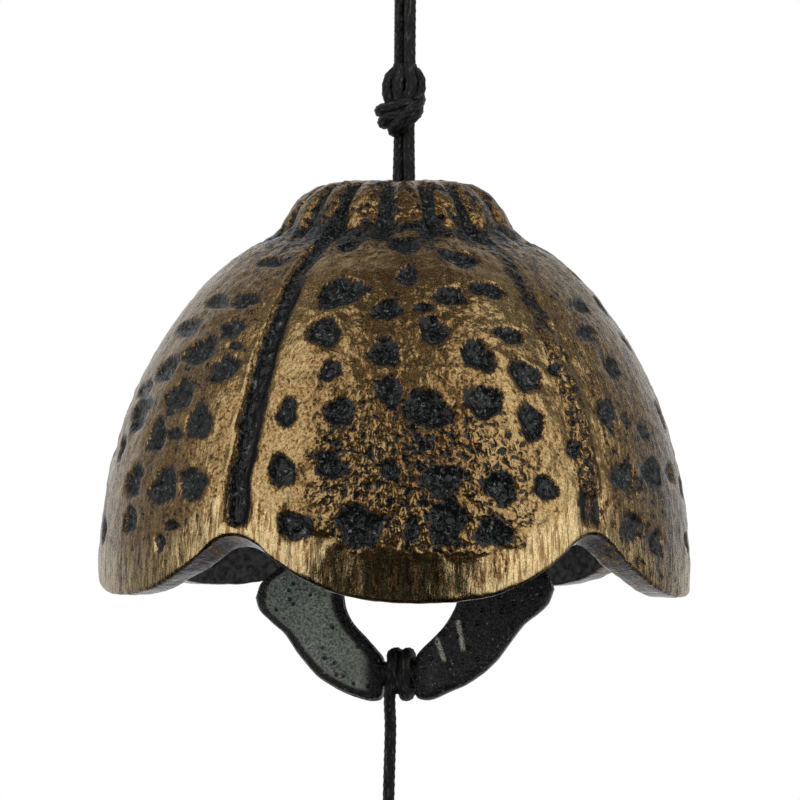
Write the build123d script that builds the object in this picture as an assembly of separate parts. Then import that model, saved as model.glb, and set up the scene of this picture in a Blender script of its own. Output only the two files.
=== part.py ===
from build123d import *
import os
from math import sin, cos, tan, radians, degrees, sqrt, pi, hypot, atan2

# Furin wind bell: cast-iron bell on a doubled black cord, with a flat iron clapper ring
# inside it and a paper wind strip below.
# Millimetres. Heights below are measured from the lowest point of the bell's rim;
# the finished part is moved so that the origin is the hang point, inside the top of the loop.

# ---------------------------------------------------------------- driving dimensions
HANG_Z = 95.0          # hang point above the rim
BELL_DX = -0.9         # bell axis from the plumb line; the cord hole is that far off centre

# bell outer profile, radius and height, from the crown down to the rim
CROWN = [(7.2, 55.6), (10.4, 55.1), (11.9, 54.3), (13.1, 53.4), (14.3, 51.9),
         (15.2, 50.4), (15.9, 49.3)]
DOME = [(15.9, 49.3), (17.8, 47.8), (20.5, 46.25), (22.9, 44.6), (26.3, 41.35), (28.8, 38.1),
        (31.1, 34.85), (33.0, 31.6), (34.7, 28.3), (36.1, 25.1), (37.2, 21.8), (38.05, 18.6),
        (38.85, 15.3), (39.4, 11.5), (39.8, 7.2), (40.0, 3.9), (40.0, 0.0)]
INNER = [(35.9, 0.0), (35.75, 7.0), (35.0, 14.0), (33.4, 21.5), (30.9, 28.0), (27.4, 34.5),
         (22.3, 41.0), (16.5, 45.2), (10.0, 48.3), (5.2, 49.4)]
CROWN_IN_Z = 49.5      # underside of the crown
CORD_HOLE_R = 3.0
PETALS = 5
# rim scallop: distance along the rim from a notch, height of the edge
SCALLOP = [(0.0, 9.2), (1.1, 8.95), (3.1, 7.7), (5.7, 5.5), (10.0, 2.9), (15.0, 1.0),
           (20.0, 0.2), (24.6, 0.0)]
GROOVE_W = 2.9         # groove between petals
GROOVE_D = 1.35
GROOVE_Z0 = 11.0       # its blunt lower end
FLUTES = 17
FLUTE_W = 1.7
FLUTE_D = 1.0

CORD_D = 1.6           # braided cord
R = CORD_D / 2

KNOT_Z0, KNOT_Z1 = 61.8, 71.2      # overhand knot above the crown
PIV_SWAY = 63.7                    # cord bends here, under the knot
SEAT_R = 3.6                       # stopper knot under the crown
PIV_TILT = 47.6                    # its centre
PIV_SWING = 43.0                   # clapper cord bends here, under the stopper knot

RING_YAW = -16.0       # clapper ring's plane, turned about the plumb line
RING_BOW = 83.0        # the ring is bowed, convex to the front: radius of its middle surface
RING_T = 3.3
RING_Z = -0.2          # ring centre
RING_SHEAR = 0.04      # one ear hangs higher than the other
# quarter outlines of the ring, across and down from its centre
RING_OUT = [(20.72, 0.0), (20.1, -1.7), (18.57, -3.2), (16.84, -4.6), (15.46, -6.3), (14.31, -7.9),
            (13.02, -9.5), (11.39, -11.), (9.19, -12.4), (6.12, -13.8), (3.73, -14.45)]
RING_NOTCH = [(2.75, -14.3), (2.25, -13.5), (2.1, -12.6)]
RING_IN = [(7.85, 0.0), (7.61, -1.5), (7.03, -2.9), (6.03, -4.4), (4.59, -5.9), (3.16, -7.3),
           (2.3, -8.4), (2.1, -9.)]
LASH_W = 4.0           # lashing of cord turns round each neck of the ring
LASH_T = 6.6
LASH_IN, LASH_OUT = 7.4, 14.2

STRIP_CORD_U = -1.6    # strip cord hangs from the left turn of the lower lashing
PIV_STRIP = RING_Z - 14.6
STRIP_KNOT_Z = -47.6
STRIP_TOP = -51.2
STRIP_W, STRIP_L, STRIP_T = 26.0, 82.0, 0.5
STRIP_YAW = 12.0
LOOP_R = 3.2           # loop through the strip's hole
LOOP_Z = STRIP_KNOT_Z - 0.6 - LOOP_R
STRIP_HOLE_R = 1.4
GAP = 0.1              # clearance where a cord bends


def tube(points, radius):
    """Cord tube: straight runs joined by tangent arcs as large as the runs allow."""
    radii = []
    for a, b, c in zip(points, points[1:], points[2:]):
        u, v = Vector(*b) - Vector(*a), Vector(*c) - Vector(*b)
        half = radians(u.get_angle(v)) / 2
        radii.append(0.45 * min(u.length, v.length) / tan(half))
    path = FilletPolyline(*points, radius=radii)
    start = Plane(origin=points[0], z_dir=Vector(*points[1]) - Vector(*points[0]))
    solid = sweep(start * Circle(radius), path=path)
    print("tube radii", [round(r, 1) for r in radii], "length", round(path.length, 1),
          "volume ratio", round(solid.volume / (pi * radius ** 2 * path.length), 3))
    return solid


def rod(a, b, radius):
    a, b = Vector(*a), Vector(*b)
    return extrude(Plane(origin=a, z_dir=b - a) * Circle(radius), (b - a).length)


def ellipsoid(rx, ry, rz, at):
    return Pos(*at) * scale(Sphere(1), by=(rx, ry, rz))


def xz(points):
    return [(p[0], 0, p[1]) for p in points]


def offset_profile(points, d):
    """Points of a profile moved along its own normal, outwards for a positive d."""
    out = []
    for i, p in enumerate(points):
        a, b = points[max(i - 1, 0)], points[min(i + 1, len(points) - 1)]
        tx, tz = b[0] - a[0], b[1] - a[1]
        n = hypot(tx, tz)
        out.append((p[0] - tz / n * d, p[1] + tx / n * d))
    return out


def channel(points, depth, width):
    """Cutter that follows a profile in the X-Z half plane, for grooves and flutes."""
    outer, inner = offset_profile(points, 1.2), offset_profile(points, -depth)
    face = make_face([Spline(*xz(outer)), Line(*xz([outer[-1], inner[-1]])),
                      Spline(*xz(inner)), Line(*xz([inner[0], outer[0]]))])
    return extrude(face, width / 2, dir=(0, 1, 0), both=True)


# ---------------------------------------------------------------- bell casting
profile = make_face([
    Line((0, 0, CROWN[0][1]), (CROWN[0][0], 0, CROWN[0][1])),
    Spline(*xz(CROWN)),
    Spline(*xz(DOME)),
    Line(*xz([DOME[-1], INNER[0]])),
    Spline(*xz(INNER)),
    Spline(*xz([INNER[-1], (2.6, 49.48), (0, CROWN_IN_Z)])),
    Line((0, 0, CROWN_IN_Z), (0, 0, CROWN[0][1])),
])
bell = revolve(profile, Axis.Z, 360)

# scalloped rim: the edge rises to a rounded notch between petals
edge = [(-u, z) for u, z in reversed(SCALLOP[1:])] + SCALLOP
notch_face = make_face([
    Spline(*[(0, u, z) for u, z in edge]),
    Polyline((0, edge[-1][0], edge[-1][1]), (0, edge[-1][0], -4.0),
             (0, edge[0][0], -4.0), (0, edge[0][0], edge[0][1])),
])
notch = Pos(28, 0, 0) * extrude(notch_face, 18, dir=(1, 0, 0))

groove_line = [p for p in DOME if GROOVE_Z0 + 0.8 < p[1] < 47.9]
groove_line += [(39.42, GROOVE_Z0)]
groove = channel(groove_line, GROOVE_D, GROOVE_W)

flute = channel(CROWN[1:], FLUTE_D, FLUTE_W)

petal0 = -90.0         # a petal faces the front, -Y
notch_at = [petal0 + 360 / PETALS * (k + 0.5) for k in range(PETALS)]
flute_at = [petal0 + 360 / FLUTES * (k + 0.5) for k in range(FLUTES)]
bell -= [Rot(0, 0, a) * notch for a in notch_at]
bell -= [Rot(0, 0, a) * groove for a in notch_at]
bell -= [Rot(0, 0, a) * flute for a in flute_at]
bell -= Pos(-BELL_DX, 0, 52) * Cylinder(CORD_HOLE_R, 12)
bell -= Pos(-BELL_DX, 0, PIV_TILT) * Sphere(SEAT_R + 0.03)
bell = Pos(BELL_DX, 0, 0) * bell

# ---------------------------------------------------------------- cords above and in the crown
knot_ball = Pos(0, 0, PIV_SWAY) * Sphere(PIV_SWAY - KNOT_Z0)
top_knot = knot_ball + ellipsoid(2.7, 2.3, 3.95, (0.1, 0, KNOT_Z1 - 3.95)) \
    + Pos(-2.2, -0.2, 66.6) * Sphere(1.7)

loop_route = [(-0.62, 0.58, 70.0), (-0.62, 0.58, 82.4), (-4.3, 0, 88.4), (-4.3, 0, HANG_Z - 1.27),
              (0, 0, HANG_Z + R + 0.6), (4.3, 0, HANG_Z - 1.27), (4.3, 0, 88.4),
              (0.62, -0.58, 82.4), (0.62, -0.58, 70.0)]
hanging_loop = tube(loop_route, R) - top_knot

bend_top = Pos(0, 0, PIV_SWAY) * Sphere(PIV_SWAY - KNOT_Z0 + GAP)
bend_low = Pos(0, 0, PIV_TILT) * Sphere(SEAT_R + GAP)
neck_left = rod((-0.82, 0.1, 63.4), (-0.95, 0.15, 48.5), R) - bend_top - bend_low
neck_right = rod((0.82, -0.1, 63.4), (0.95, -0.15, 48.5), R) - bend_top - bend_low

stopper = Pos(0, 0, PIV_TILT) * Sphere(SEAT_R) \
    + rod((0, 0, PIV_TILT - SEAT_R + 0.6), (0, 0, PIV_SWING), R) \
    + Pos(0, 0, PIV_SWING) * Sphere(1.1)

# ---------------------------------------------------------------- clapper


def shear(pts):
    return [(u, w + RING_SHEAR * u) for u, w in pts]


def all_round(quarter):
    """A quarter outline carried round the ring: down the right, up the left, over the top."""
    br = list(quarter)
    bl = [(-u, w) for u, w in reversed(br)]
    tl = [(-u, -w) for u, w in br]
    tr = [(u, -w) for u, w in reversed(br)]
    return br, bl, tl, tr


def ring_outline(curve, end):
    """Closed wire: two smooth flanks, each a spline from neck to neck, and straight necks."""
    right = shear([(u, -w) for u, w in reversed(curve[1:])] + curve)
    left = shear([(-u, w) for u, w in reversed(curve)] + [(-u, -w) for u, w in curve[1:]])
    tip = shear(end)
    tail = [(-u, w) for u, w in end]
    right_low = right[-1:] + tip
    left_low = list(reversed(shear(tail))) + left[:1]
    left_top = left[-1:] + shear([(-u, -w) for u, w in end])
    right_top = list(reversed(shear([(u, -w) for u, w in end]))) + right[:1]
    edges = [Spline(*xz(right)), Polyline(*xz(right_low)), Line(*xz([right_low[-1], left_low[0]])),
             Polyline(*xz(left_low)), Spline(*xz(left)), Polyline(*xz(left_top)),
             Line(*xz([left_top[-1], right_top[0]])), Polyline(*xz(right_top))]
    return make_face(edges)


ring_face = ring_outline(RING_OUT, RING_NOTCH) - ring_outline(RING_IN[:-2], RING_IN[-2:])
ring = extrude(ring_face, 9, dir=(0, 1, 0), both=True)
ring &= Pos(0, RING_BOW, 0) * (Cylinder(RING_BOW + RING_T / 2, 60)
                               - Cylinder(RING_BOW - RING_T / 2, 60))
try:
    rims = [e for e in ring.edges() if e.length > 20
            and abs(abs(hypot(e.center().X, e.center().Y - RING_BOW) - RING_BOW) - RING_T / 2) < 0.05]
    print("ring edges rounded:", len(rims))
    ring = fillet(rims, 0.9)
except Exception as err:
    print("ring edges left sharp:", err)


def lashing(sign):
    low, high = sorted((sign * LASH_IN, sign * LASH_OUT))
    block = Pos(0, 0, (low + high) / 2) * Box(LASH_W, LASH_T, high - low)
    return fillet(block.edges().filter_by(Axis.X), 1.9)


upper_lashing = lashing(1) - ring
lower_ball = Pos(STRIP_CORD_U, 0, PIV_STRIP - RING_Z) * Sphere(0.9)
lower_lashing = lashing(-1) + lower_ball \
    + rod((STRIP_CORD_U, 0, -13.2), (STRIP_CORD_U, 0, PIV_STRIP - RING_Z), R) - ring
place_ring = Pos(0, 0, RING_Z) * Rot(0, 0, RING_YAW)
ring, upper_lashing, lower_lashing = (place_ring * s for s in (ring, upper_lashing, lower_lashing))

clapper_cord = rod((0, 0, PIV_SWING), (0, 0, RING_Z + LASH_OUT + GAP), R) \
    - Pos(0, 0, PIV_SWING) * Sphere(1.1 + GAP)

# ---------------------------------------------------------------- wind strip and its cord
SX = STRIP_CORD_U * cos(radians(RING_YAW))
SY = STRIP_CORD_U * sin(radians(RING_YAW))
strip_cord = rod((SX, SY, PIV_STRIP), (SX, SY, STRIP_KNOT_Z + 1.9 + GAP), R) \
    - Pos(SX, SY, PIV_STRIP) * Sphere(0.9 + GAP)

place_strip = Pos(SX, SY, 0) * Rot(0, 0, STRIP_YAW)
strip_knot = place_strip * ellipsoid(1.9, 1.9, 1.9, (0, 0, STRIP_KNOT_Z))
strip_loop = place_strip * (Pos(0, 0, LOOP_Z) * Rot(0, 90, 0) * Torus(LOOP_R, R)) - strip_knot
strip = Pos(0, 0, STRIP_TOP - STRIP_L / 2) * Box(STRIP_W, STRIP_T, STRIP_L)
strip = fillet(strip.edges().filter_by(Axis.Y), 0.8)
strip -= Pos(0, 0, LOOP_Z - LOOP_R) * Rot(90, 0, 0) * Cylinder(STRIP_HOLE_R, 4)
strip = place_strip * strip

# ---------------------------------------------------------------- files
nodes = {
    "bell_casting": bell,
    "hanging_loop": hanging_loop,
    "top_knot": top_knot,
    "neck_strand_left": neck_left,
    "neck_strand_right": neck_right,
    "stopper_knot": stopper,
    "clapper_cord": clapper_cord,
    "upper_lashing": upper_lashing,
    "clapper_ring": ring,
    "lower_lashing": lower_lashing,
    "strip_cord": strip_cord,
    "strip_knot": strip_knot,
    "strip_loop": strip_loop,
    "wind_strip": strip,
}
os.makedirs("parts", exist_ok=True)
for name, shape in nodes.items():
    shape = Pos(0, 0, -HANG_Z) * shape
    if len(shape.solids()) == 1:
        shape = shape.solids()[0]
    shape.label = name
    export_step(shape, f"parts/{name}.step")
    box = shape.bounding_box()
    print(f"{name}: solids {len(shape.solids())}, volume {shape.volume:.1f}, "
          f"x {box.min.X:.2f}..{box.max.X:.2f} y {box.min.Y:.2f}..{box.max.Y:.2f} "
          f"z {box.min.Z:.2f}..{box.max.Z:.2f}")
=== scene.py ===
import random
from math import sin, cos, pi, radians, sqrt, atan2, hypot

import bpy
import bmesh
import numpy as np
from mathutils import Matrix, Vector


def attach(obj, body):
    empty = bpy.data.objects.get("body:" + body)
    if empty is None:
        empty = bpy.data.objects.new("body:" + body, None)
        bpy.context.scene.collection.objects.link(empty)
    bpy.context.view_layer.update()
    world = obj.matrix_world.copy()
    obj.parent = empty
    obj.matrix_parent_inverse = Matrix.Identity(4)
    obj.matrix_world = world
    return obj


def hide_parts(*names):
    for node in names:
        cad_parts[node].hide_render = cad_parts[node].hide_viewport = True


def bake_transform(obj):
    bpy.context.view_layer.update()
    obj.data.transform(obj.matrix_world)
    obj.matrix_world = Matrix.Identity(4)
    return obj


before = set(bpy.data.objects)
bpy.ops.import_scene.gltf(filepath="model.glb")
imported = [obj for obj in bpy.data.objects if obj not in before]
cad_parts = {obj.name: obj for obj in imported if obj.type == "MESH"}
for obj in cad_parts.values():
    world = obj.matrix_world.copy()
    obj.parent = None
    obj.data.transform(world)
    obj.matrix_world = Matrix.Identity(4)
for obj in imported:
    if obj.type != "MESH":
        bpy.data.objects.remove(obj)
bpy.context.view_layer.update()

# Furin wind bell. Lengths below are millimetres and heights are measured from the lowest
# point of the bell's rim; the row frame's origin is the hang point, HANG above that.
MM = 0.001
HANG = 95.0
scene = bpy.context.scene
TAU = 2 * pi


def row(p):
    """Millimetres above the rim to metres in the row frame."""
    p = np.asarray(p, float)
    return (p - np.array([0.0, 0.0, HANG])) * MM


# ------------------------------------------------------------------ camera
BELL_X = -0.9                      # the bell's axis from the plumb line
CAM_AZ, CAM_DIST, CAM_Z, ROLL = radians(-4.5), 640.0, 22.1, radians(0.45)
F_PX = 4718.8                      # focal length in pixels of an 800 pixel wide frame
to_cam = Vector((sin(CAM_AZ), -cos(CAM_AZ), 0.0))
cam_at = Vector(row((BELL_X, 0, CAM_Z))) + to_cam * CAM_DIST * MM
right = Vector((cos(CAM_AZ), sin(CAM_AZ), 0.0))
up = Vector((0, 0, 1))
look = (-to_cam * F_PX + right * 4.5 + up * 30.0).normalized()
r0 = look.cross(up).normalized()
u0 = r0.cross(look)
u1 = u0 * cos(ROLL) - r0 * sin(ROLL)
r1 = look.cross(u1)
cam_data = bpy.data.cameras.new("camera")
cam_data.sensor_width = 36.0
cam_data.lens = F_PX / 800.0 * 36.0
cam_data.clip_start, cam_data.clip_end = 0.05, 20.0
cam = bpy.data.objects.new("camera", cam_data)
scene.collection.objects.link(cam)
cam.matrix_world = Matrix((
    (r1.x, u1.x, -look.x, cam_at.x),
    (r1.y, u1.y, -look.y, cam_at.y),
    (r1.z, u1.z, -look.z, cam_at.z),
    (0, 0, 0, 1)))
scene.camera = cam


# ------------------------------------------------------------------ small tools
def link(ob):
    scene.collection.objects.link(ob)
    return ob


def mesh_object(name, verts, faces, smooth=True):
    """verts in millimetres above the rim."""
    me = bpy.data.meshes.new(name)
    me.from_pydata(row(verts).tolist(), [], [list(map(int, f)) for f in faces])
    me.validate()
    bm = bmesh.new()
    bm.from_mesh(me)
    bmesh.ops.recalc_face_normals(bm, faces=bm.faces)
    bm.to_mesh(me)
    bm.free()
    if smooth:
        me.polygons.foreach_set("use_smooth", [True] * len(me.polygons))
    return link(bpy.data.objects.new(name, me))


def put(ob, name, values):
    a = ob.data.attributes.new(name, "FLOAT", "POINT")
    a.data.foreach_set("value", np.asarray(values, np.float32))


def sstep(a, b, x):
    t = np.clip((x - a) / (b - a), 0, 1)
    return t * t * (3 - 2 * t)


def hermite(xs, ys, x):
    """Smooth monotone curve through points."""
    xs, ys, x = np.asarray(xs, float), np.asarray(ys, float), np.asarray(x, float)
    h = np.diff(xs)
    d = np.diff(ys) / h
    m = np.zeros_like(ys)
    m[0], m[-1] = d[0], d[-1]
    for i in range(1, len(xs) - 1):
        if d[i - 1] * d[i] > 0:
            w1, w2 = 2 * h[i] + h[i - 1], h[i] + 2 * h[i - 1]
            m[i] = (w1 + w2) / (w1 / d[i - 1] + w2 / d[i])
    k = np.clip(np.searchsorted(xs, x) - 1, 0, len(xs) - 2)
    t = np.clip((x - xs[k]) / h[k], 0, 1)
    return ((1 + 2 * t) * (1 - t) ** 2 * ys[k] + t * (1 - t) ** 2 * h[k] * m[k]
            + t * t * (3 - 2 * t) * ys[k + 1] + t * t * (t - 1) * h[k] * m[k + 1])


def vnoise(p, scale, seed=0):
    """Smooth value noise in -1..1 at points p (n, 3)."""
    q = p * scale + seed * 17.31
    i = np.floor(q).astype(np.int64)
    f = q - i
    f = f * f * f * (f * (f * 6 - 15) + 10)
    out = np.zeros(len(p))
    for dx in (0, 1):
        for dy in (0, 1):
            for dz in (0, 1):
                x, y, z = i[:, 0] + dx, i[:, 1] + dy, i[:, 2] + dz
                h = (x * 374761393 + y * 668265263 + z * 1442695041 + seed * 974711) & 0xFFFFFFFF
                h = ((h ^ (h >> 13)) * 1274126177) & 0xFFFFFFFF
                h = (h ^ (h >> 16)) & 0xFFFFFF
                w = ((f[:, 0] if dx else 1 - f[:, 0]) * (f[:, 1] if dy else 1 - f[:, 1])
                     * (f[:, 2] if dz else 1 - f[:, 2]))
                out += w * (h / 0xFFFFFF * 2 - 1)
    return out


# ------------------------------------------------------------------ cords
CORD_R = 0.8


def spline_line(points):
    """A cord's smooth line: a NURBS spline with the route's points as its control points."""
    cu = bpy.data.curves.new("route", "CURVE")
    cu.dimensions = "3D"
    sp = cu.splines.new("NURBS")
    sp.points.add(len(points) - 1)
    for a, b in zip(sp.points, points):
        a.co = (*[float(c) for c in b], 1.0)
    sp.order_u = 3
    sp.use_endpoint_u = True
    sp.resolution_u = 16
    ob = link(bpy.data.objects.new("route", cu))
    me = bpy.data.meshes.new_from_object(ob)
    line = np.array([v.co[:] for v in me.vertices], float)
    bpy.data.objects.remove(ob)
    bpy.data.curves.remove(cu)
    bpy.data.meshes.remove(me)
    keep = np.r_[True, np.linalg.norm(np.diff(line, axis=0), axis=1) > 1e-4]
    return line[keep]


def resample(line, step):
    s = np.r_[0, np.cumsum(np.linalg.norm(np.diff(line, axis=0), axis=1))]
    n = max(int(round(s[-1] / step)), 4)
    t = np.linspace(0, s[-1], n + 1)
    return np.stack([np.interp(t, s, line[:, k]) for k in range(3)], 1), t


def braid_height(alpha, s, strands, pitch):
    """Relief of a round braid, 0 in the gaps to 1 on the crossing yarns."""
    ua = strands * alpha + TAU * s / pitch
    ub = strands * alpha - TAU * s / pitch
    ia, ib = np.round(ua / TAU), np.round(ub / TAU)
    fa, fb = (ua / TAU - ia) * 2, (ub / TAU - ib) * 2
    pa, pb = np.sqrt(np.clip(1 - fa * fa, 0, 1)), np.sqrt(np.clip(1 - fb * fb, 0, 1))
    ha = pa * (0.66 + 0.34 * np.cos(ub / 2 + pi * ia))
    hb = pb * (0.66 - 0.34 * np.cos(ua / 2 + pi * ib))
    return np.maximum(ha, hb)


def braid(name, route_pts, radius=CORD_R, closed=False, seg=36, step=0.12, strands=6, pitch=1.15,
          relief=0.16, flat=1.0, flat_dir=None, round_ends=True, spin=0.0):
    """Braided cord tube along the spline of a route. flat < 1 squeezes it along flat_dir."""
    line, s = resample(spline_line(route_pts), step)
    n = len(line)
    if closed:
        line, s = line[:-1], s[:-1]
        n -= 1
        tan = np.roll(line, -1, 0) - np.roll(line, 1, 0)
    else:
        tan = np.gradient(line, axis=0)
    tan /= np.linalg.norm(tan, axis=1)[:, None]
    a = np.cross(tan[0], [0.31, 0.95, 0.05] if abs(tan[0][1]) < 0.8 else [1, 0, 0])
    a /= np.linalg.norm(a)
    nor = np.zeros_like(line)
    for i in range(n):
        a = a - tan[i] * (a @ tan[i])
        a = a / np.linalg.norm(a)
        nor[i] = a
    if closed:                     # spread the leftover twist so that the ends meet
        b = nor[-1] - tan[0] * (nor[-1] @ tan[0])
        b /= np.linalg.norm(b)
        off = atan2(np.dot(np.cross(nor[0], b), tan[0]), nor[0] @ b)
        for i in range(n):
            w = -off * i / n
            nor[i] = nor[i] * cos(w) + np.cross(tan[i], nor[i]) * sin(w)
        pitch = (s[-1] + step) / max(round((s[-1] + step) / pitch), 1)
    bi = np.cross(tan, nor)
    al = np.arange(seg) * TAU / seg
    A, S = np.meshgrid(al + spin, s)
    H = braid_height(A, S, strands, pitch)
    rr = radius * (1 - relief + relief * 1.25 * H)
    if not closed and round_ends:
        e = np.minimum(s, s[-1] - s)
        rr = rr * np.sqrt(np.clip(1 - (1 - np.clip(e / radius, 0, 1)) ** 2, 0.02, 1))[:, None]
    off = (nor[:, None, :] * np.cos(al)[None, :, None] + bi[:, None, :] * np.sin(al)[None, :, None])
    off = off * rr[:, :, None]
    if flat_dir is not None:
        d = np.asarray(flat_dir, float)
        d = d / np.linalg.norm(d)
        off = off - (off @ d)[:, :, None] * d * (1 - flat)
    V = (line[:, None, :] + off).reshape(-1, 3)
    F = []
    rows = n if closed else n - 1
    for i in range(rows):
        j = (i + 1) % n
        for k in range(seg):
            m = (k + 1) % seg
            F.append((i * seg + k, i * seg + m, j * seg + m, j * seg + k))
    if not closed:
        F.append(tuple(range(seg - 1, -1, -1)))
        F.append(tuple((n - 1) * seg + k for k in range(seg)))
    ob = mesh_object(name, V, F)
    put(ob, "relief", H.reshape(-1))
    put(ob, "along", S.reshape(-1))
    put(ob, "around", (A.reshape(-1) - spin) * radius)
    return ob, line


def joined(name, obs):
    """Several strand meshes as one piece."""
    base = obs[0]
    with bpy.context.temp_override(active_object=base, selected_editable_objects=obs,
                                   selected_objects=obs, object=base):
        bpy.ops.object.join()
    base.name = name
    base.data.name = name
    return base


def lump(name, at, radii, seed=1, rings=18, segs=28, bump=0.08):
    """Closed irregular body that fills the heart of a knot."""
    V, F = [], []
    for i in range(rings + 1):
        t = pi * i / rings
        for k in range(segs):
            a = TAU * k / segs
            V.append((sin(t) * cos(a), sin(t) * sin(a), cos(t)))
    V = np.array(V)
    g = 1 + bump * vnoise(V, 2.3, seed)
    V = V * g[:, None] * np.array(radii) + np.array(at)
    for i in range(rings):
        for k in range(segs):
            m = (k + 1) % segs
            F.append((i * segs + k, (i + 1) * segs + k, (i + 1) * segs + m, i * segs + m))
    me = bpy.data.meshes.new(name)
    me.from_pydata(row(V).tolist(), [], F)
    bm = bmesh.new()
    bm.from_mesh(me)
    bmesh.ops.remove_doubles(bm, verts=bm.verts, dist=1e-7)
    bmesh.ops.recalc_face_normals(bm, faces=bm.faces)
    bm.to_mesh(me)
    bm.free()
    me.polygons.foreach_set("use_smooth", [True] * len(me.polygons))
    ob = link(bpy.data.objects.new(name, me))
    z = np.zeros(len(me.vertices))
    put(ob, "relief", z)
    put(ob, "along", z)
    put(ob, "around", z)
    return ob


def ring_route(centre, ex, ey, n=14, wob=0.0, seed=0, lift=None):
    """Control points of a closed turn; the first and last meet on a straight run."""
    rnd = random.Random(seed)
    centre, ex, ey = map(np.array, (centre, ex, ey))
    g = 1.0 / cos(pi / n) ** 2
    pts = []
    for k in range(n):
        a = TAU * (k + 0.5) / n
        q = 1 + wob * (rnd.random() - 0.5)
        pts.append(centre + (ex * cos(a) + ey * sin(a)) * g * q)
    mid = (pts[0] + pts[-1]) / 2
    return [mid] + pts + [mid]


# doubled hanging cord and its loop
loop_route = [(-0.62, 0.58, 70.0), (-0.62, 0.58, 79.6), (-0.62, 0.58, 82.4), (-4.3, 0, 88.4),
              (-4.3, 0, HANG - 1.27), (0, 0, HANG + CORD_R + 0.6), (4.3, 0, HANG - 1.27), (4.3, 0, 88.4),
              (0.62, -0.58, 82.4), (0.62, -0.58, 79.6), (0.62, -0.58, 70.0)]
hang, hang_path = braid("hanging_cord", loop_route)

# overhand knot above the crown: two strands spread at the top, wrapped by two slanted turns
knot_runs = [
    # the two big arcs at the front, each of two strands side by side
    [(-0.62, 0.58, 72.0), (-0.85, -0.1, 70.9), (-2.1, -0.7, 70.0), (-2.45, -0.9, 68.2), (-2.1, -1.0, 66.6),
     (-1.2, -0.9, 65.6), (0.2, -0.5, 65.0)],
    [(-0.35, 0.2, 71.4), (-0.5, -0.9, 70.7), (-0.98, -1.5, 69.6), (-1.05, -1.65, 68.0), (-0.8, -1.6, 66.6),
     (0.3, -1.3, 65.6)],
    [(0.62, -0.58, 72.0), (0.85, -0.7, 70.9), (1.85, -0.8, 70.2), (2.1, -0.9, 68.7), (1.75, -1.2, 67.3),
     (0.7, -1.3, 66.4)],
    [(0.4, -0.8, 71.4), (0.45, -1.3, 70.6), (0.72, -1.75, 69.5), (0.72, -1.85, 68.2), (0.3, -1.8, 66.9),
     (-0.4, -1.4, 66.2)],
    # the pair that comes round the right side and crosses down to the lower left
    [(0.6, 1.3, 68.2), (1.7, 0.8, 67.6), (2.2, -0.4, 67.0), (1.6, -1.6, 66.2), (0.5, -2.35, 65.4), (-0.7, -2.3, 64.2),
     (-1.55, -1.7, 63.0), (-1.6, -0.5, 62.5), (-0.8, 0.6, 62.8)],
    [(0.4, 1.4, 67.2), (1.6, 1.0, 66.4), (1.95, -0.2, 65.6), (1.3, -1.5, 64.7), (0.3, -1.8, 63.9), (-0.5, -1.5, 63.1),
     (-0.6, -0.4, 62.7)],
    [(0.9, -1.9, 66.9), (-0.3, -2.3, 66.3), (-1.7, -2.0, 65.8), (-2.9, -1.3, 65.6), (-3.45, -0.1, 65.3),
     (-2.8, 1.1, 65.3), (-1.3, 1.7, 65.6), (0.4, 1.8, 66.2)],
    [(-0.2, -2.0, 65.2), (-1.5, -2.05, 64.7), (-2.75, -1.3, 64.1), (-3.0, -0.1, 63.7), (-2.3, 1.0, 63.7),
     (-0.9, 1.5, 64.0), (0.6, 1.3, 64.6)],
    # behind
    [(-0.4, 1.0, 71.4), (0.9, 1.5, 70.2), (1.9, 1.35, 68.6), (1.5, 1.5, 66.4), (0.1, 1.7, 64.6), (-1.2, 1.2, 63.4)],
    [(0.5, 0.7, 71.2), (-0.8, 1.4, 70.1), (-1.9, 1.35, 68.6), (-1.6, 1.6, 66.6), (-0.3, 1.75, 64.8), (0.9, 1.2, 63.6)],
]
k_parts = [braid(f"knot_{k}", pts, spin=0.37 * k, relief=0.21)[0] for k, pts in enumerate(knot_runs)]
k_parts.append(lump("knot_heart", (-0.2, 0.0, 66.7), (1.75, 1.45, 4.0)))
knot = joined("overhand_knot", k_parts)

# the two strands down into the crown
neck_l, _ = braid("neck_strand_left_cord", [(-0.58, 0.42, 64.6), (-0.58, 0.42, 61.5),
                                           (-0.75, 0.30, 54.6), (-0.86, 0.20, 48.4)], spin=0.4)
neck_r, _ = braid("neck_strand_right_cord", [(0.58, -0.42, 64.6), (0.58, -0.42, 61.5),
                                            (0.75, -0.30, 54.6), (0.86, -0.20, 48.4)], spin=1.1)

# stopper knot under the crown
s_parts = []
for k, (tilt, turn) in enumerate(((12, 0), (58, 40), (62, 150), (66, 265))):
    t, a = radians(tilt), radians(turn)
    ex = np.array([cos(a), sin(a), 0]) * 2.55
    ey = np.array([-sin(a) * cos(t), cos(a) * cos(t), sin(t)]) * 2.55
    c = (0, 0, 47.4 if k else 46.6)
    s_parts.append(braid(f"stop_{k}", ring_route(c, ex, ey, wob=0.05, seed=20 + k), closed=True)[0])
s_parts.append(lump("stop_heart", (0, 0, 47.2), (2.5, 2.5, 2.6)))
stop_knot = joined("stopper_knot_tied", s_parts)

# clapper cord from the stopper knot down to the upper lashing
clap_cord, clap_path = braid("clapper_line_cord", [(0, 0, 46.0), (0, 0, 41.0), (0.12, 0.05, 31.0),
                                                  (0.05, -0.05, 21.0), (0, 0, 12.6)], spin=0.8)

# cord turns round each neck of the clapper
RING_YAW, RING_Z = radians(-16.0), -0.2
ru = np.array([cos(RING_YAW), sin(RING_YAW), 0])
rv = np.array([-sin(RING_YAW), cos(RING_YAW), 0])
rc = np.array([0, 0, RING_Z])


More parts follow.
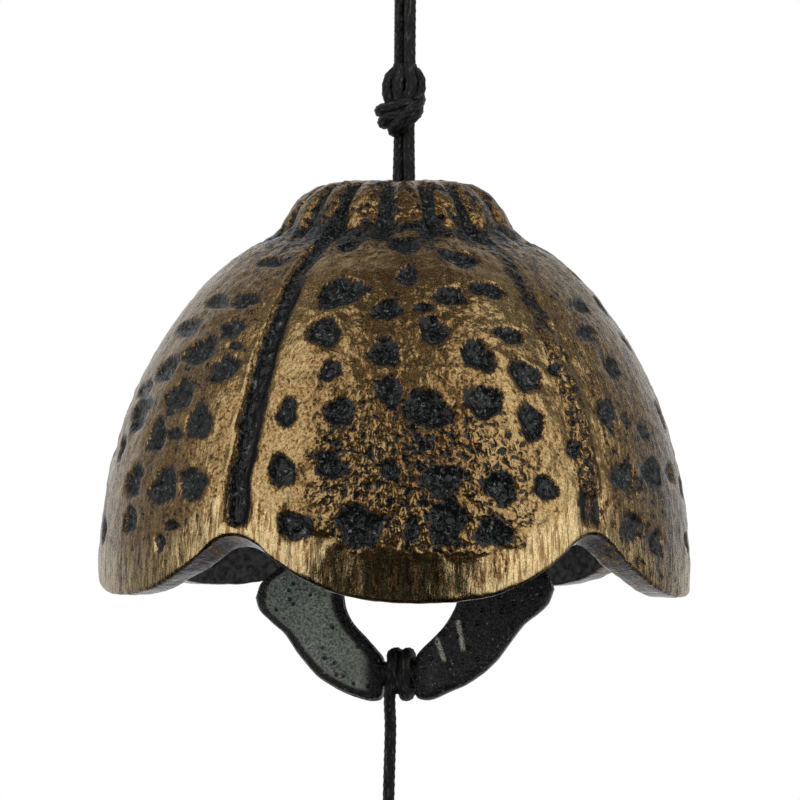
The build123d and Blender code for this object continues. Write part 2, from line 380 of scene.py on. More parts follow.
def ring_at(u, v, w):
    return rc + ru * u + rv * v + np.array([0, 0, w])


def lashing(name, sign, first, second):
    """Cord wound twice round a neck, each turn up the front, over, and down the back."""
    mid, half_w, half_v = 10.8 * sign, 2.72, 2.48
    pts = []
    per = 12
    for k in range(per * 2 + 1):
        t = k / per
        a = TAU * t
        cv, cw = -cos(a), sin(a)
        g = 1.04 / max(abs(cv) ** 4 + abs(cw) ** 4, 1e-9) ** 0.25
        f = t - int(t)
        u = first + (second - first) * float(sstep(0.34, 0.9, f)) if t < 1 else second
        pts.append(ring_at(u, cv * half_v * g, mid + cw * half_w * g))
    # begin and end tucked in under the turns
    pts = [ring_at(first + 0.5, -1.5, mid - 2.6)] + pts + [ring_at(second - 0.6, -1.3, mid + 2.3)]
    return braid(name, pts, spin=0.3, relief=0.24)[0]


def cross_turn(name, sign):
    """A last slanted turn, under the others at the front."""
    mid = 10.8 * sign
    pts = []
    n = 14
    for k in range(n):
        a = TAU * (k + 0.5) / n
        cv, cw = -cos(a), sin(a)
        g = 1.02 / max(abs(cv) ** 4 + abs(cw) ** 4, 1e-9) ** 0.25
        pts.append(ring_at(0.05 - 1.0 * cw, cv * 2.2 * g, mid + cw * 2.62 * g))
    m = (pts[0] + pts[-1]) / 2
    return braid(name, [m] + pts + [m], closed=True, spin=0.9, relief=0.24)[0]


low_lash = joined("lower_lashing_turns", [lashing("low_turns", -1, -0.60, 1.04), cross_turn("low_cross", -1)])
up_lash = joined("upper_lashing_turns", [lashing("up_turns", 1, -0.82, 0.80), cross_turn("up_cross", 1)])

# strip cord, its knot and loop, and the strip's place
SX, SY = -1.6 * cos(RING_YAW), -1.6 * sin(RING_YAW)
STRIP_YAW = radians(12.0)
lead = ring_at(-0.72, -2.35, -11.4)
strip_cord, strip_path = braid("strip_line_cord", [lead, ring_at(-0.98, -2.2, -13.4), ring_at(-1.15, -1.2, -15.2),
                                                  (SX + 0.38, SY, -18.0), (SX + 0.2, SY, -25.0), (SX + 0.1, SY, -32.5),
                                                  (SX, SY + 0.05, -40.0), (SX, SY, -46.6)], spin=0.2)
sx = np.array([cos(STRIP_YAW), sin(STRIP_YAW), 0])
sy = np.array([-sin(STRIP_YAW), cos(STRIP_YAW), 0])


def strip_at(a, b, z):
    return np.array([SX, SY, z]) + sx * a + sy * b


sk = []
for k, (tilt, turn) in enumerate(((18, 10), (55, 130), (-52, 60))):
    t, a = radians(tilt), radians(turn)
    ex = np.array([cos(a), sin(a), 0]) * 1.12
    ey = np.array([-sin(a) * cos(t), cos(a) * cos(t), sin(t)]) * 1.12
    sk.append(braid(f"sk_{k}", ring_route((SX, SY, -47.6), ex, ey, n=12, seed=40 + k), closed=True,
                    step=0.1)[0])
sk.append(lump("sk_heart", (SX, SY, -47.6), (1.25, 1.25, 1.5)))
strip_knot = joined("strip_knot_tied", sk)
loop_pts = [strip_at(0, -0.5, -47.4), strip_at(0, -1.3, -48.8), strip_at(0, -2.9, -50.4),
            strip_at(0, -3.4, -52.4), strip_at(0, -2.2, -54.5), strip_at(0, 0, -55.0),
            strip_at(0, 2.2, -54.5), strip_at(0, 3.4, -52.4), strip_at(0, 2.9, -50.4),
            strip_at(0, 1.3, -48.8), strip_at(0, 0.5, -47.4)]
strip_loop, _ = braid("strip_loop_cord", loop_pts, step=0.1)


# ------------------------------------------------------------------ bell casting
CROWN = [(7.2, 55.6), (10.4, 55.1), (11.9, 54.3), (13.1, 53.4), (14.3, 51.9), (15.2, 50.4), (15.9, 49.3)]
DOME = [(15.9, 49.3), (17.8, 47.8), (20.5, 46.25), (22.9, 44.6), (26.3, 41.35), (28.8, 38.1),
        (31.1, 34.85), (33.0, 31.6), (34.7, 28.3), (36.1, 25.1), (37.2, 21.8), (38.05, 18.6),
        (38.85, 15.3), (39.4, 11.5), (39.8, 7.2), (40.0, 3.9), (40.0, 0.0)]
INNER = [(35.9, 0.0), (35.75, 7.0), (35.0, 14.0), (33.4, 21.5), (30.9, 28.0), (27.4, 34.5),
         (22.3, 41.0), (16.5, 45.2), (10.0, 48.3), (5.2, 49.4)]
EDGE_PHI = [0, 6, 14, 21.5, 27.8, 31.5, 34.5, 36]
EDGE_Z = [0, 0.15, 1.0, 2.9, 5.5, 7.55, 8.55, 8.7]
FLUTES = 17

N_AZ, N_CROWN_TOP, N_CROWN, N_DOME = 540, 6, 18, 146
theta = np.arange(N_AZ) * TAU / N_AZ          # from the front, -Y, towards +X
phi = (np.degrees(theta) + 36) % 72 - 36      # from the petal's middle
edge_z = hermite(EDGE_PHI, EDGE_Z, np.abs(phi))
az_deg = (np.degrees(theta) + 180) % 360 - 180
edge_z = edge_z - 0.45 * np.exp(-((az_deg + 36) / 4.5) ** 2)
edge_in = edge_z - 1.35 * sstep(19, 33, np.abs(phi))     # the inner edge hangs lower in the notches


def dense(profile, n=500):
    p = np.array(profile, float)
    s = np.r_[0, np.cumsum(np.linalg.norm(np.diff(p, axis=0), axis=1))]
    t = np.linspace(0, s[-1], n)
    q = np.stack([hermite(s, p[:, 0], t), hermite(s, p[:, 1], t)], 1)
    return q, np.r_[0, np.cumsum(np.linalg.norm(np.diff(q, axis=0), axis=1))]


crown_q, crown_s = dense(CROWN)
dome_q, dome_s = dense(DOME)
inner_q, inner_s = dense(INNER)
RIM_R = 0.55
rows_r, rows_z, rows_kind = [], [], []        # one array over azimuth per row


def add_row(r, z, kind):
    rows_r.append(np.broadcast_to(np.asarray(r, float), (N_AZ,)).copy())
    rows_z.append(np.broadcast_to(np.asarray(z, float), (N_AZ,)).copy())
    rows_kind.append(kind)


HOLE_X = -BELL_X                               # the cord hole, from the bell's axis
for j in range(N_CROWN_TOP):
    t = j / N_CROWN_TOP
    add_row(3.25 + (7.2 - 3.25) * t, 55.6 - 0.12 * (1 - t) ** 2, "top")
for j in range(N_CROWN):
    L = crown_s[-1] * j / N_CROWN
    add_row(np.interp(L, crown_s, crown_q[:, 0]), np.interp(L, crown_s, crown_q[:, 1]), "crown")
end_s = np.interp(-(edge_z + RIM_R), -dome_q[:, 1], dome_s)
for j in range(N_DOME):
    L = end_s * j / (N_DOME - 1)
    add_row(np.interp(L, dome_s, dome_q[:, 0]), np.interp(L, dome_s, dome_q[:, 1]), "dome")
r_out = np.interp(-edge_z, -dome_q[:, 1], dome_q[:, 0])
r_in = np.interp(edge_in, inner_q[:, 1], inner_q[:, 0])
for a in (28, 58, 90):
    add_row(r_out - RIM_R * (1 - cos(radians(a))), edge_z + RIM_R * (1 - sin(radians(a))), "rim")
for t in (0.33, 0.67):
    add_row((r_out - RIM_R) * (1 - t) + (r_in + RIM_R) * t, edge_z * (1 - t) + edge_in * t, "rim")
for a in (90, 45):
    add_row(r_in + RIM_R * (1 - cos(radians(a))), edge_in + RIM_R * (1 - sin(radians(a))), "rim")
n_fine = len(rows_r)

R = np.array(rows_r)
Z = np.array(rows_z)
T = np.broadcast_to(theta, R.shape)
kinds = np.array(rows_kind)
X, Y = R * np.sin(T), -R * np.cos(T)
top = kinds == "top"                           # the hole is off the bell's axis
X[top] += (HOLE_X * np.clip((7.2 - R[top]) / (7.2 - 3.25), 0, 1))
P = np.stack([X, Y, Z], -1)

# outward normal of the smooth surface
dr = np.gradient(P, axis=0)
dt = (np.roll(P, -1, 1) - np.roll(P, 1, 1)) / 2
nrm = np.cross(dt, dr)
nrm /= np.maximum(np.linalg.norm(nrm, axis=2), 1e-9)[:, :, None]
if nrm[kinds == "dome"][40, 0] @ np.array([0, -1, 0]) < 0:
    nrm = -nrm

# arc length down the outside, for the pattern
path_s = np.interp(-Z, -dome_q[:, 1], dome_s)
PHI = np.broadcast_to(phi, R.shape)
TH = np.degrees(T)
TH = (TH + 180) % 360 - 180
from_edge = Z - np.broadcast_to(edge_z, Z.shape)
dome = np.broadcast_to((kinds == "dome")[:, None], R.shape)
flat_p = P.reshape(-1, 3)

# dimples: azimuth from the front, height, half width across and half height
FRONT = [(-22.4, 46.4, 1.26, 1.11), (-2.3, 46.4, 1.71, 1.88), (17.3, 44.8, 2.44, 1.83), (-1.2, 42.2, 1.31, 1.76),
         (-19.9, 40.0, 2.98, 2.35), (-6.9, 37.6, 1.94, 1.46), (10.3, 39.6, 1.89, 1.51), (21.9, 40.6, 2.37, 1.35),
         (2.6, 38.0, 1.44, 0.66), (4.5, 35.0, 1.83, 2.04), (-22.0, 34.8, 2.18, 2.03), (24.0, 34.7, 2.10, 1.25),
         (-7.0, 32.1, 1.68, 2.24), (14.5, 31.8, 2.06, 2.09), (-18.8, 29.7, 1.20, 1.46), (25.2, 29.3, 2.12, 2.19),
         (-5.9, 27.1, 1.54, 1.97), (-15.8, 24.4, 1.70, 1.77), (14.0, 25.8, 2.04, 2.23), (1.9, 24.9, 2.45, 2.33),
         (-27.1, 24.3, 1.41, 1.77), (24.1, 23.3, 1.79, 2.17), (-17.1, 17.5, 1.71, 1.57), (-26.6, 16.7, 1.82, 1.97),
         (-5.5, 17.0, 1.15, 1.18), (4.4, 15.7, 2.20, 1.82), (15.9, 14.8, 1.92, 1.94), (25.6, 14.8, 1.82, 1.43),
         (-11.1, 9.8, 2.57, 2.55), (-23.3, 9.6, 2.31, 1.66), (5.0, 10.3, 2.20, 2.43), (14.2, 9.1, 2.04, 1.66),
         (-1.3, 9.4, 1.02, 1.40)]
LEFT = [(-48.5, 23.0, 2.08, 2.19), (-46.3, 30.0, 2.00, 1.92), (-48.9, 35.3, 2.11, 1.30), (-45.4, 33.1, 1.07, 0.61),
        (-57.1, 32.2, 3.01, 1.85), (-57.3, 26.4, 2.78, 1.87), (-61.5, 21.2, 2.09, 2.04), (-55.1, 21.4, 1.53, 0.81),
        (-55.5, 14.5, 2.43, 2.37), (-47.1, 15.0, 2.38, 1.97), (-54.7, 7.1, 1.08, 1.04), (-51.5, 9.5, 1.20, 0.65),
        (-62.1, 38.9, 3.01, 1.05), (-50.1, 39.1, 2.38, 1.20), (-68.7, 35.4, 3.16, 1.51), (-67.5, 29.9, 2.63, 1.97),
        (-73.3, 24.1, 3.47, 2.26), (-76.3, 27.2, 2.62, 1.33), (-66.8, 15.1, 2.21, 2.13), (-66.3, 9.9, 1.55, 1.97),
        (-50.3, 44.3, 2.43, 0.82), (-58.4, 24.1, 0.95, 0.42)]
RIGHT = [(54.3, 38.8, 2.27, 1.05), (50.2, 35.0, 1.97, 1.30), (53.8, 30.7, 1.92, 1.51), (45.6, 24.3, 1.72, 1.94),
         (57.6, 22.1, 1.25, 1.11), (47.0, 16.1, 2.46, 2.13), (57.0, 16.8, 2.15, 2.02), (47.6, 9.7, 2.73, 1.57),
         (55.2, 7.6, 1.73, 1.58), (68.1, 16.8, 2.19, 1.36), (33.3, 19.9, 0.84, 1.07), (33.5, 30.2, 0.85, 0.89),
         (51.8, 23.8, 1.28, 0.69), (48.7, 5.1, 1.05, 0.55)]
dimples = [d + (True,) for d in FRONT + LEFT + RIGHT]


def radius_at(z):
    return float(np.interp(-z, -dome_q[:, 1], dome_q[:, 0]))


def spot(az, z):
    r = radius_at(z)
    a = radians(az)
    return np.array([r * sin(a), -r * cos(a), z])


rnd = random.Random(11)
placed = [spot(d[0], d[1]) for d in dimples]
for petal in (-144, -72, 72, 144):
    zrow, odd = 8.6, 0
    while zrow < 47:
        r = radius_at(zrow)
        half = 36 - np.degrees(3.4 / r)
        step = np.degrees(6.1 / r)
        n = int(2 * half / step) + 1
        for k in range(n):
            az = petal + (k - (n - 1) / 2) * step + (rnd.random() - 0.5) * step * 0.55
            zz = zrow + (rnd.random() - 0.5) * 2.6
            a, b = rnd.uniform(1.35, 2.5), rnd.uniform(1.2, 2.2)
            azw = (az + 180) % 360 - 180
            if -77 < azw < 70 or abs(azw - petal) % 360 > half and abs(azw - petal) % 360 < 360 - half:
                continue
            q = spot(azw, zz)
            low = float(hermite(EDGE_PHI, EDGE_Z, abs((azw + 36) % 72 - 36)))
            if zz - low < 4.8 or min(np.linalg.norm(q - p) for p in placed) < 4.7:
                continue
            placed.append(q)
            dimples.append((azw, zz, a, b, False))
        zrow += 4.6 + 0.9 * rnd.random()

field = np.full(R.shape, -1.0)                 # above 0 inside a dimple, 1 at its middle
depth = np.zeros(R.shape)
rnd = random.Random(5)
for az, z, a, b, seen in dimples:
    s0 = float(np.interp(-z, -dome_q[:, 1], dome_s))
    r0_ = radius_at(z)
    dth = (TH - az + 180) % 360 - 180
    near = dome & (np.abs(path_s - s0) < b * 2.2) & (np.abs(dth) < np.degrees(a * 2.2 / r0_))
    x = np.radians(dth[near]) * R[near] / a
    y = (path_s[near] - s0) / b
    ang = np.arctan2(y, x)
    rho = np.hypot(x, y)
    ph = [rnd.uniform(0, TAU) for _ in range(3)]
    rho = rho / (1 + 0.10 * np.sin(2 * ang + ph[0]) + 0.09 * np.sin(3 * ang + ph[1]) + 0.06 * np.sin(5 * ang + ph[2]))
    f = 1 - rho
    field[near] = np.maximum(field[near], f)
    m = min(a, b)
    d = (0.26 + 0.21 * m) * sstep(-0.22, 0.40, f)
    lip = -(0.05 + 0.07 * float(sstep(52, 64, abs(az)))) * np.exp(-((f + 0.30) / 0.16) ** 2)
    depth[near] = np.where(d + lip > depth[near], d + lip, np.maximum(depth[near], lip * (depth[near] <= 0)))
    depth[near] = np.maximum(depth[near], d)

# grooves between petals: steep on one side, a slanted bank on the other; the one on the right of
# the front petal is shallower, its lower half filled with paint
side = np.where(PHI > 0, -1.0, 1.0)            # which petal's flank this is
w = np.radians(36 - np.abs(PHI)) * R
ws = w * side * np.where(TH > 0, -1.0, 1.0)    # across the groove, towards the front petal
wav = vnoise(flat_p, 0.45, 21).reshape(R.shape)
g_scale = 0.42 + 0.0152 * R                    # 1 at the rim's radius, less towards the crown
x_g = (ws + 0.27 * wav) / g_scale
g_top = sstep(50.3, 46.4, Z)
g_end = sstep(9.1, 10.4, Z - 0.35 * np.minimum(w, 1.5))
lobes = np.broadcast_to(np.isin(kinds, ("dome", "crown"))[:, None], R.shape)
right_one = np.exp(-((TH - 36) / 6.0) ** 2)
groove = sstep(-1.75 - 1.1 * right_one, -0.85 + 0.3 * right_one, x_g) * sstep(2.45, 0.35, x_g) * g_top * g_end * lobes
filled = right_one * sstep(13.2, 15.0, Z + 0.6 * wav) * sstep(37.0, 33.0, Z)
fade = sstep(33, 43, Z) * sstep(49.5, 47.0, Z)
deep = (1 - 0.57 * right_one - 0.25 * filled) * (1 - 0.30 * fade)
x_r = x_g + 0.75 * right_one * vnoise(flat_p, 0.85, 23).reshape(R.shape)
bare_groove = sstep(-1.65, -1.15, x_r) * sstep(2.35, 1.75, x_r) * g_top * sstep(9.0, 9.9, Z) * lobes
g_lip = np.exp(-((x_g + 2.0) / 0.35) ** 2) * g_top * sstep(10.5, 12.5, Z) * dome
pillow = np.exp(-(w / 6.5) ** 2) * sstep(4.0, 14.0, from_edge) * dome

# crown flutes
fl_at = [-74.5, -53.5, -35.0, -9.4, 13.9, 34.5, 62.3]
fl_at = fl_at + [62.3 + 223.2 * k / (FLUTES - 6) for k in range(1, FLUTES - 5)]
th_in = (TH + 74.5) % 360 - 74.5 + 1.6 * vnoise(flat_p, 0.25, 22).reshape(R.shape)
fl = np.interp(th_in, [fl_at[0] - 20.3] + fl_at + [fl_at[-1] + 21.0], np.arange(-1, FLUTES + 2))   # whole numbers in a flute
in_crown = sstep(7.6, 10.8, R) * sstep(46.6, 49.6, Z)
valley = 0.5 + 0.5 * np.cos(TAU * fl)          # 1 in the flute's middle
flute = valley ** 2.6 * in_crown
ridge = (1 - valley) * in_crown

# casting texture
big = vnoise(flat_p, 0.16, 1).reshape(R.shape)
mid = vnoise(flat_p, 0.55, 2).reshape(R.shape)
fine = vnoise(flat_p, 1.25, 3).reshape(R.shape)
front_zone = sstep(-27, -15, TH + 3 * mid) * sstep(31, 15, TH + 4 * mid) * sstep(5.0, 7.5, from_edge + mid)
side_zone = (np.exp(-((np.abs(TH) - 128) / 26.0) ** 2)) * sstep(4.5, 8, from_edge + mid)
rough_zone = (front_zone * (0.18 + 0.82 * sstep(30, 19, Z + 2.5 * big)) * sstep(47, 40, Z)
              + 0.55 * side_zone * sstep(36, 22, Z) + 0.10)
rough_zone = np.clip(rough_zone * (0.92 + 0.35 * mid), 0, 1)
rough_zone = np.maximum(rough_zone, 0.75 * sstep(43.0, 47.5, Z) * lobes)
rough_zone = np.maximum(rough_zone, 0.8 * filled * sstep(0.0, 0.3, groove))
outside = np.isin(kinds, ("dome", "crown", "top"))[:, None]
worms = 1 - np.abs(vnoise(flat_p, 0.8, 7).reshape(R.shape)) * 2.2
pit = sstep(-0.1, 0.4, field)
disp = (-1.35 * groove * deep + (0.10 + 0.12 * mid) * g_lip * (1 - 0.8 * right_one) + 0.10 * groove * (mid + fine) - 0.40 * pillow * (1 - groove) - depth * dome * (1 - 0.85 * groove)
        - 1.0 * flute + 0.12 * ridge
        + outside * (0.12 * big + 0.08 * mid + 0.04 * fine)
        + outside * (rough_zone * (1 - pit) + 0.6 * filled) * (0.13 * worms + 0.07 * fine)
        + dome * pit * (0.05 * fine + 0.05 * mid))
rim = (kinds == "rim")[:, None]
disp = disp + rim * (0.06 * mid + 0.05 * fine) * np.where(kinds == "rim", 1.0, 0.0)[:, None]
P = P + nrm * disp[:, :, None]
P[..., 0] += BELL_X

# paint: where the gold was brushed on
gold = np.ones(R.shape)
gold *= 1 - 0.97 * bare_groove * (1 - filled) * (1 - 0.25 * right_one) * (1 - fade * (0.18 + 0.45 * sstep(-0.3, 0.5, wav)))
gold *= 1 - 0.18 * filled * sstep(0.05, 0.4, groove) * (0.5 + wav)
gold += 0.22 * filled * np.exp(-((x_g + 0.1) / 0.45) ** 2)
gold += 0.30 * g_lip * (1 - pit) * (1 - right_one) * sstep(-0.25, 0.35, mid + 0.5 * fine)
gold *= 1 - 0.85 * sstep(0.25, 0.85, flute + 0.25 * mid)
gold *= 1 - (0.08 + 0.34 * mid) * sstep(41.0, 45.0, Z + 1.5 * big) * dome
gold *= 1 - (-0.08 + 0.22 * mid) * np.isin(kinds, ("crown",))[:, None]
gold *= 1 - 0.85 * np.exp(-((Z - 48.2) / 1.5) ** 2) * (0.75 + 0.7 * mid)
gold *= np.where(kinds == "top", np.interp([r[0] for r in R], [3.2, 5.2, 7.2], [0.25, 0.45, 0.95]), 1.0)[:, None]
notch_lip = np.exp(-((from_edge - 1.7) / 2.3) ** 2) * sstep(13, 22, np.abs(PHI))
gold += 0.17 * notch_lip * (1 - pit) * (1 - groove) * dome
gold += (0.17 * sstep(14, 21, TH) * sstep(44, 37, TH) + 0.08 * sstep(-15, -21, TH) * sstep(-44, -37, TH)) * (1 - pit) * (1 - groove) * dome
gold -= 0.14 * np.exp(-((TH + 2) / 11.0) ** 2) * sstep(11, 15, Z) * sstep(31, 24, Z) * dome
flank = sstep(36.5, 47, np.abs(TH)) * sstep(112, 98, np.abs(TH)) * np.where(TH < 0, 0.5, 1.0)
gold -= 0.20 * np.exp(-((TH - 59 - 3 * mid) / 8.0) ** 2) * sstep(27, 20, Z + 2 * big) * sstep(3, 8, from_edge) * dome
gold *= 1 - 0.04 * sstep(54, 68, TH) * sstep(110, 96, TH) * dome + 0.02 * sstep(58, 70, -TH) * sstep(110, 96, -TH) * dome
thin = np.where(np.isin(kinds, ("crown", "top"))[:, None], 1.0, 0.25 * sstep(38, 46, Z) * dome)
rim_rows = np.flatnonzero(kinds == "rim")
gold[rim_rows] *= np.array([0.85, 0.35] + [0.05] * (len(rim_rows) - 2))[:, None]
brush = np.stack([30 * np.sin(T), -30 * np.cos(T), np.where(dome, path_s, 60 - Z * 1.2)], -1)

fine_v = P.reshape(-1, 3)
shade = np.where(field > 0, 1 - 0.62 * sstep(40, 48, TH) * sstep(110, 90, TH) - 0.12 * sstep(-40, -48, TH), 1.0)
attrs = {"dimple": (field * shade).reshape(-1), "gold": gold.reshape(-1), "rough": rough_zone.reshape(-1),
         "flank": flank.reshape(-1), "thin": thin.reshape(-1), "edge": from_edge.reshape(-1), "groove": (groove * sstep(1.1, 0.2, x_g) * (1 - 0.6 * fade) + flute).clip(0, 1).reshape(-1)}
inside = np.zeros(len(fine_v))

# inside: a quarter of the azimuth steps is enough there
N_C = N_AZ // 4
ct = theta[::4]
cz = edge_in[::4]
in_rows = []
start_s = np.interp(cz + RIM_R, inner_q[:, 1], inner_s)
for j in range(16):
    L = start_s + (inner_s[-1] - start_s) * j / 15
    r = np.interp(L, inner_s, inner_q[:, 0])
    in_rows.append((r * np.sin(ct), -r * np.cos(ct), np.interp(L, inner_s, inner_q[:, 1])))
for t in (0.4, 0.8):
    r = 5.2 + (3.15 - 5.2) * t
    in_rows.append((r * np.sin(ct) + HOLE_X * t, -r * np.cos(ct), np.full(N_C, 49.4 + 0.1 * t)))
for z in (49.7, 51.5, 53.5, 55.1):
    in_rows.append((3.02 * np.sin(ct) + HOLE_X, -3.02 * np.cos(ct), np.full(N_C, z)))
C = np.array(in_rows).transpose(0, 2, 1)
cn = C.reshape(-1, 3)
wall = (cn[:, 2] < 48)[:, None] * vnoise(cn, 0.4, 9)[:, None]
rad = cn * np.array([1, 1, 0])
rad /= np.maximum(np.linalg.norm(rad, axis=1), 1e-6)[:, None]
cn = cn + rad * wall * 0.08
cn[:, 0] += BELL_X
V = np.vstack([fine_v, cn])
F = []
for i in range(n_fine - 1):
    for k in range(N_AZ):
        m = (k + 1) % N_AZ
        F.append((i * N_AZ + k, (i + 1) * N_AZ + k, (i + 1) * N_AZ + m, i * N_AZ + m))
base = len(fine_v)
n_in = len(in_rows)
for i in range(n_in - 1):
    for k in range(N_C):
        m = (k + 1) % N_C
        F.append((base + i * N_C + k, base + (i + 1) * N_C + k, base + (i + 1) * N_C + m, base + i * N_C + m))


def stitch(fine_row, coarse_row):
    """Triangles between a fine ring and a ring with a quarter of its steps."""
    for k in range(N_C):
        f = [fine_row * N_AZ + (4 * k + q) % N_AZ for q in range(5)]
        c0, c1 = base + coarse_row * N_C + k, base + coarse_row * N_C + (k + 1) % N_C
        F.extend([(f[0], f[1], c0), (f[1], f[2], c0), (f[2], c1, c0), (f[2], f[3], c1), (f[3], f[4], c1)])


stitch(n_fine - 1, 0)
stitch(0, n_in - 1)
bell = mesh_object("bell_dome", V, F)
zero = np.zeros(len(cn))
for name, values in attrs.items():
    fill = {"dimple": -1.0, "edge": 20.0}.get(name, 0.0)
    put(bell, name, np.r_[values, zero + fill])
put(bell, "inside", np.r_[inside, zero + 1])
vec = bell.data.attributes.new("brush", "FLOAT_VECTOR", "POINT")
vec.data.foreach_set("vector", np.vstack([brush.reshape(-1, 3), cn]).astype(np.float32).reshape(-1))

# ------------------------------------------------------------------ clapper ring
RING_OUT = [(20.72, 0.0), (20.1, -1.7), (18.57, -3.2), (16.84, -4.6), (15.46, -6.3), (14.31, -7.9),
            (13.02, -9.5), (11.39, -11.0), (9.19, -12.4), (6.12, -13.8), (3.73, -14.45)]
RING_NOTCH = [(2.75, -14.3), (2.25, -13.5), (2.1, -12.6)]
RING_IN = [(7.85, 0.0), (7.61, -1.5), (7.03, -2.9), (6.03, -4.4), (4.59, -5.9), (3.16, -7.3),
           (2.3, -8.4), (2.1, -9.0)]
RING_BOW, RING_T, SHEAR = 83.0, 3.3, 0.04


def quarter(points, end_w, n):
    p = np.array(points + [(0.0, end_w)], float)
    s = np.r_[0, np.cumsum(np.linalg.norm(np.diff(p, axis=0), axis=1))]
    t = np.linspace(0, 1, n) * s[-1]
    return np.stack([hermite(s, p[:, 0], t), hermite(s, p[:, 1], t)], 1)


QN = 110
qo, qi = quarter(RING_OUT + RING_NOTCH, -12.6, QN), quarter(RING_IN, -9.0, QN)


def around(q):
    br = q[:-1]
    bl = (q * [-1, 1])[::-1][:-1]
    tl = (q * [-1, -1])[:-1]
    tr = (q * [1, -1])[::-1][:-1]
    return np.vstack([br, bl, tl, tr])


o2, i2 = around(qo), around(qi)
K = len(o2)
o2 = o2 + 0.10 * np.stack([vnoise(np.c_[o2, 0 * o2[:, 0]], 0.45, 31), vnoise(np.c_[o2, 0 * o2[:, 0]], 0.45, 32)], 1)
i2 = i2 + 0.10 * np.stack([vnoise(np.c_[i2, 0 * i2[:, 0]], 0.45, 33), vnoise(np.c_[i2, 0 * i2[:, 0]], 0.45, 34)], 1)
FACE, ARC = 26, 6
rho = 1.15
sec = []                                       # (place across, side, corner angle)
for k in range(FACE + 1):
    sec.append(("f", k / FACE))
for k in range(1, ARC):
    sec.append(("o", k / ARC))
for k in range(FACE + 1):
    sec.append(("b", 1 - k / FACE))
for k in range(1, ARC):
    sec.append(("i", k / ARC))
Mx = len(sec)
RVs = np.zeros((K, Mx, 3))
for j, (kind, t) in enumerate(sec):
    d = o2 - i2
    ln = np.linalg.norm(d, axis=1)[:, None]
    d = d / ln
    half = RING_T / 2
    if kind in "fb":
        q = i2 + d * (rho + (ln - 2 * rho) * t)
        crown = 0.12 * (1 - (2 * t - 1) ** 2)
        v = (half + crown - 0.12) * (-1 if kind == "f" else 1)
        RVs[:, j, :2], RVs[:, j, 2] = q, v
    else:
        a = pi * t - pi / 2
        sgn = 1 if kind == "o" else -1
        ref = o2 - d * rho if kind == "o" else i2 + d * rho
        # elliptic edge: half the thickness tall, rho deep
        q = ref + d * sgn * rho * cos(a) ** 0.8
        v = sin(a) * (half - 0.12) if kind == "o" else -sin(a) * (half - 0.12)
        RVs[:, j, :2], RVs[:, j, 2] = q, v
RVs[..., 1] += SHEAR * RVs[..., 0]
uu = RVs[..., 0]
bow = RING_BOW - np.sqrt(RING_BOW ** 2 - uu ** 2)
local = RVs.reshape(-1, 3)
sand = vnoise(local, 1.3, 41) * 0.035 + vnoise(local, 0.5, 42) * 0.06
left_side = sstep(6.0, -2.0, uu.reshape(-1))
RVs[..., 2] += (np.sign(RVs[..., 2]).reshape(-1) * sand * (0.45 + 0.55 * left_side)).reshape(uu.shape)
pw = (rc[None, None, :] + ru * RVs[..., 0:1] + rv * (RVs[..., 2:3] + bow[..., None])
      + np.array([0, 0, 1.0]) * RVs[..., 1:2])
RF = []
for i in range(K):
    m = (i + 1) % K
    for j in range(Mx):
        n2 = (j + 1) % Mx
        RF.append((i * Mx + j, i * Mx + n2, m * Mx + n2, m * Mx + j))
clapper = mesh_object("clapper_casting", pw.reshape(-1, 3), RF)
put(clapper, "left", left_side)
gu, gw, gv = RVs[..., 0].reshape(-1), RVs[..., 1].reshape(-1), RVs[..., 2].reshape(-1)


def scratch(a, b, width):
    a, b = np.array(a), np.array(b)
    q = np.stack([gu, gw], 1)
    d = b - a
    t = np.clip(((q - a) @ d) / (d @ d), 0, 1)
    dist = np.linalg.norm(q - a - t[:, None] * d, axis=1)
    return (1 - sstep(width * 0.4, width, dist)) * (gv < 0)


put(clapper, "scratch", np.maximum(scratch((5.3, -5.9), (6.3, -8.6), 0.42), scratch((8.2, -3.6), (8.9, -7.2), 0.42)))
face_in = np.array([float(sstep(0.02, 0.12, min(t, 1 - t))) if kind in "fb" else 0.0 for kind, t in sec])
near_lash = sstep(3.6, 7.0, np.abs(RVs[..., 0]))
put(clapper, "face", (face_in[None, :] * near_lash).reshape(-1))

# ------------------------------------------------------------------ paper wind strip
SW, SL, ST = 26.0, 82.0, 0.36
S_TOP, HOLE_Z, HOLE_R = -51.2, -54.6, 1.4
CELL = 0.5
nx, nz = int(SW / CELL), int(SL / CELL)
hx0, hx1 = nx // 2 - 6, nx // 2 + 6
hz_c = (S_TOP - HOLE_Z) / CELL                 # rows from the top to the hole's middle
hz0, hz1 = 1, 13
flat_v, index = [], {}


def grid_point(i, j):
    key = (i, j)
    if key not in index:
        index[key] = len(flat_v)
        flat_v.append((-SW / 2 + i * CELL, S_TOP - j * CELL))
    return index[key]


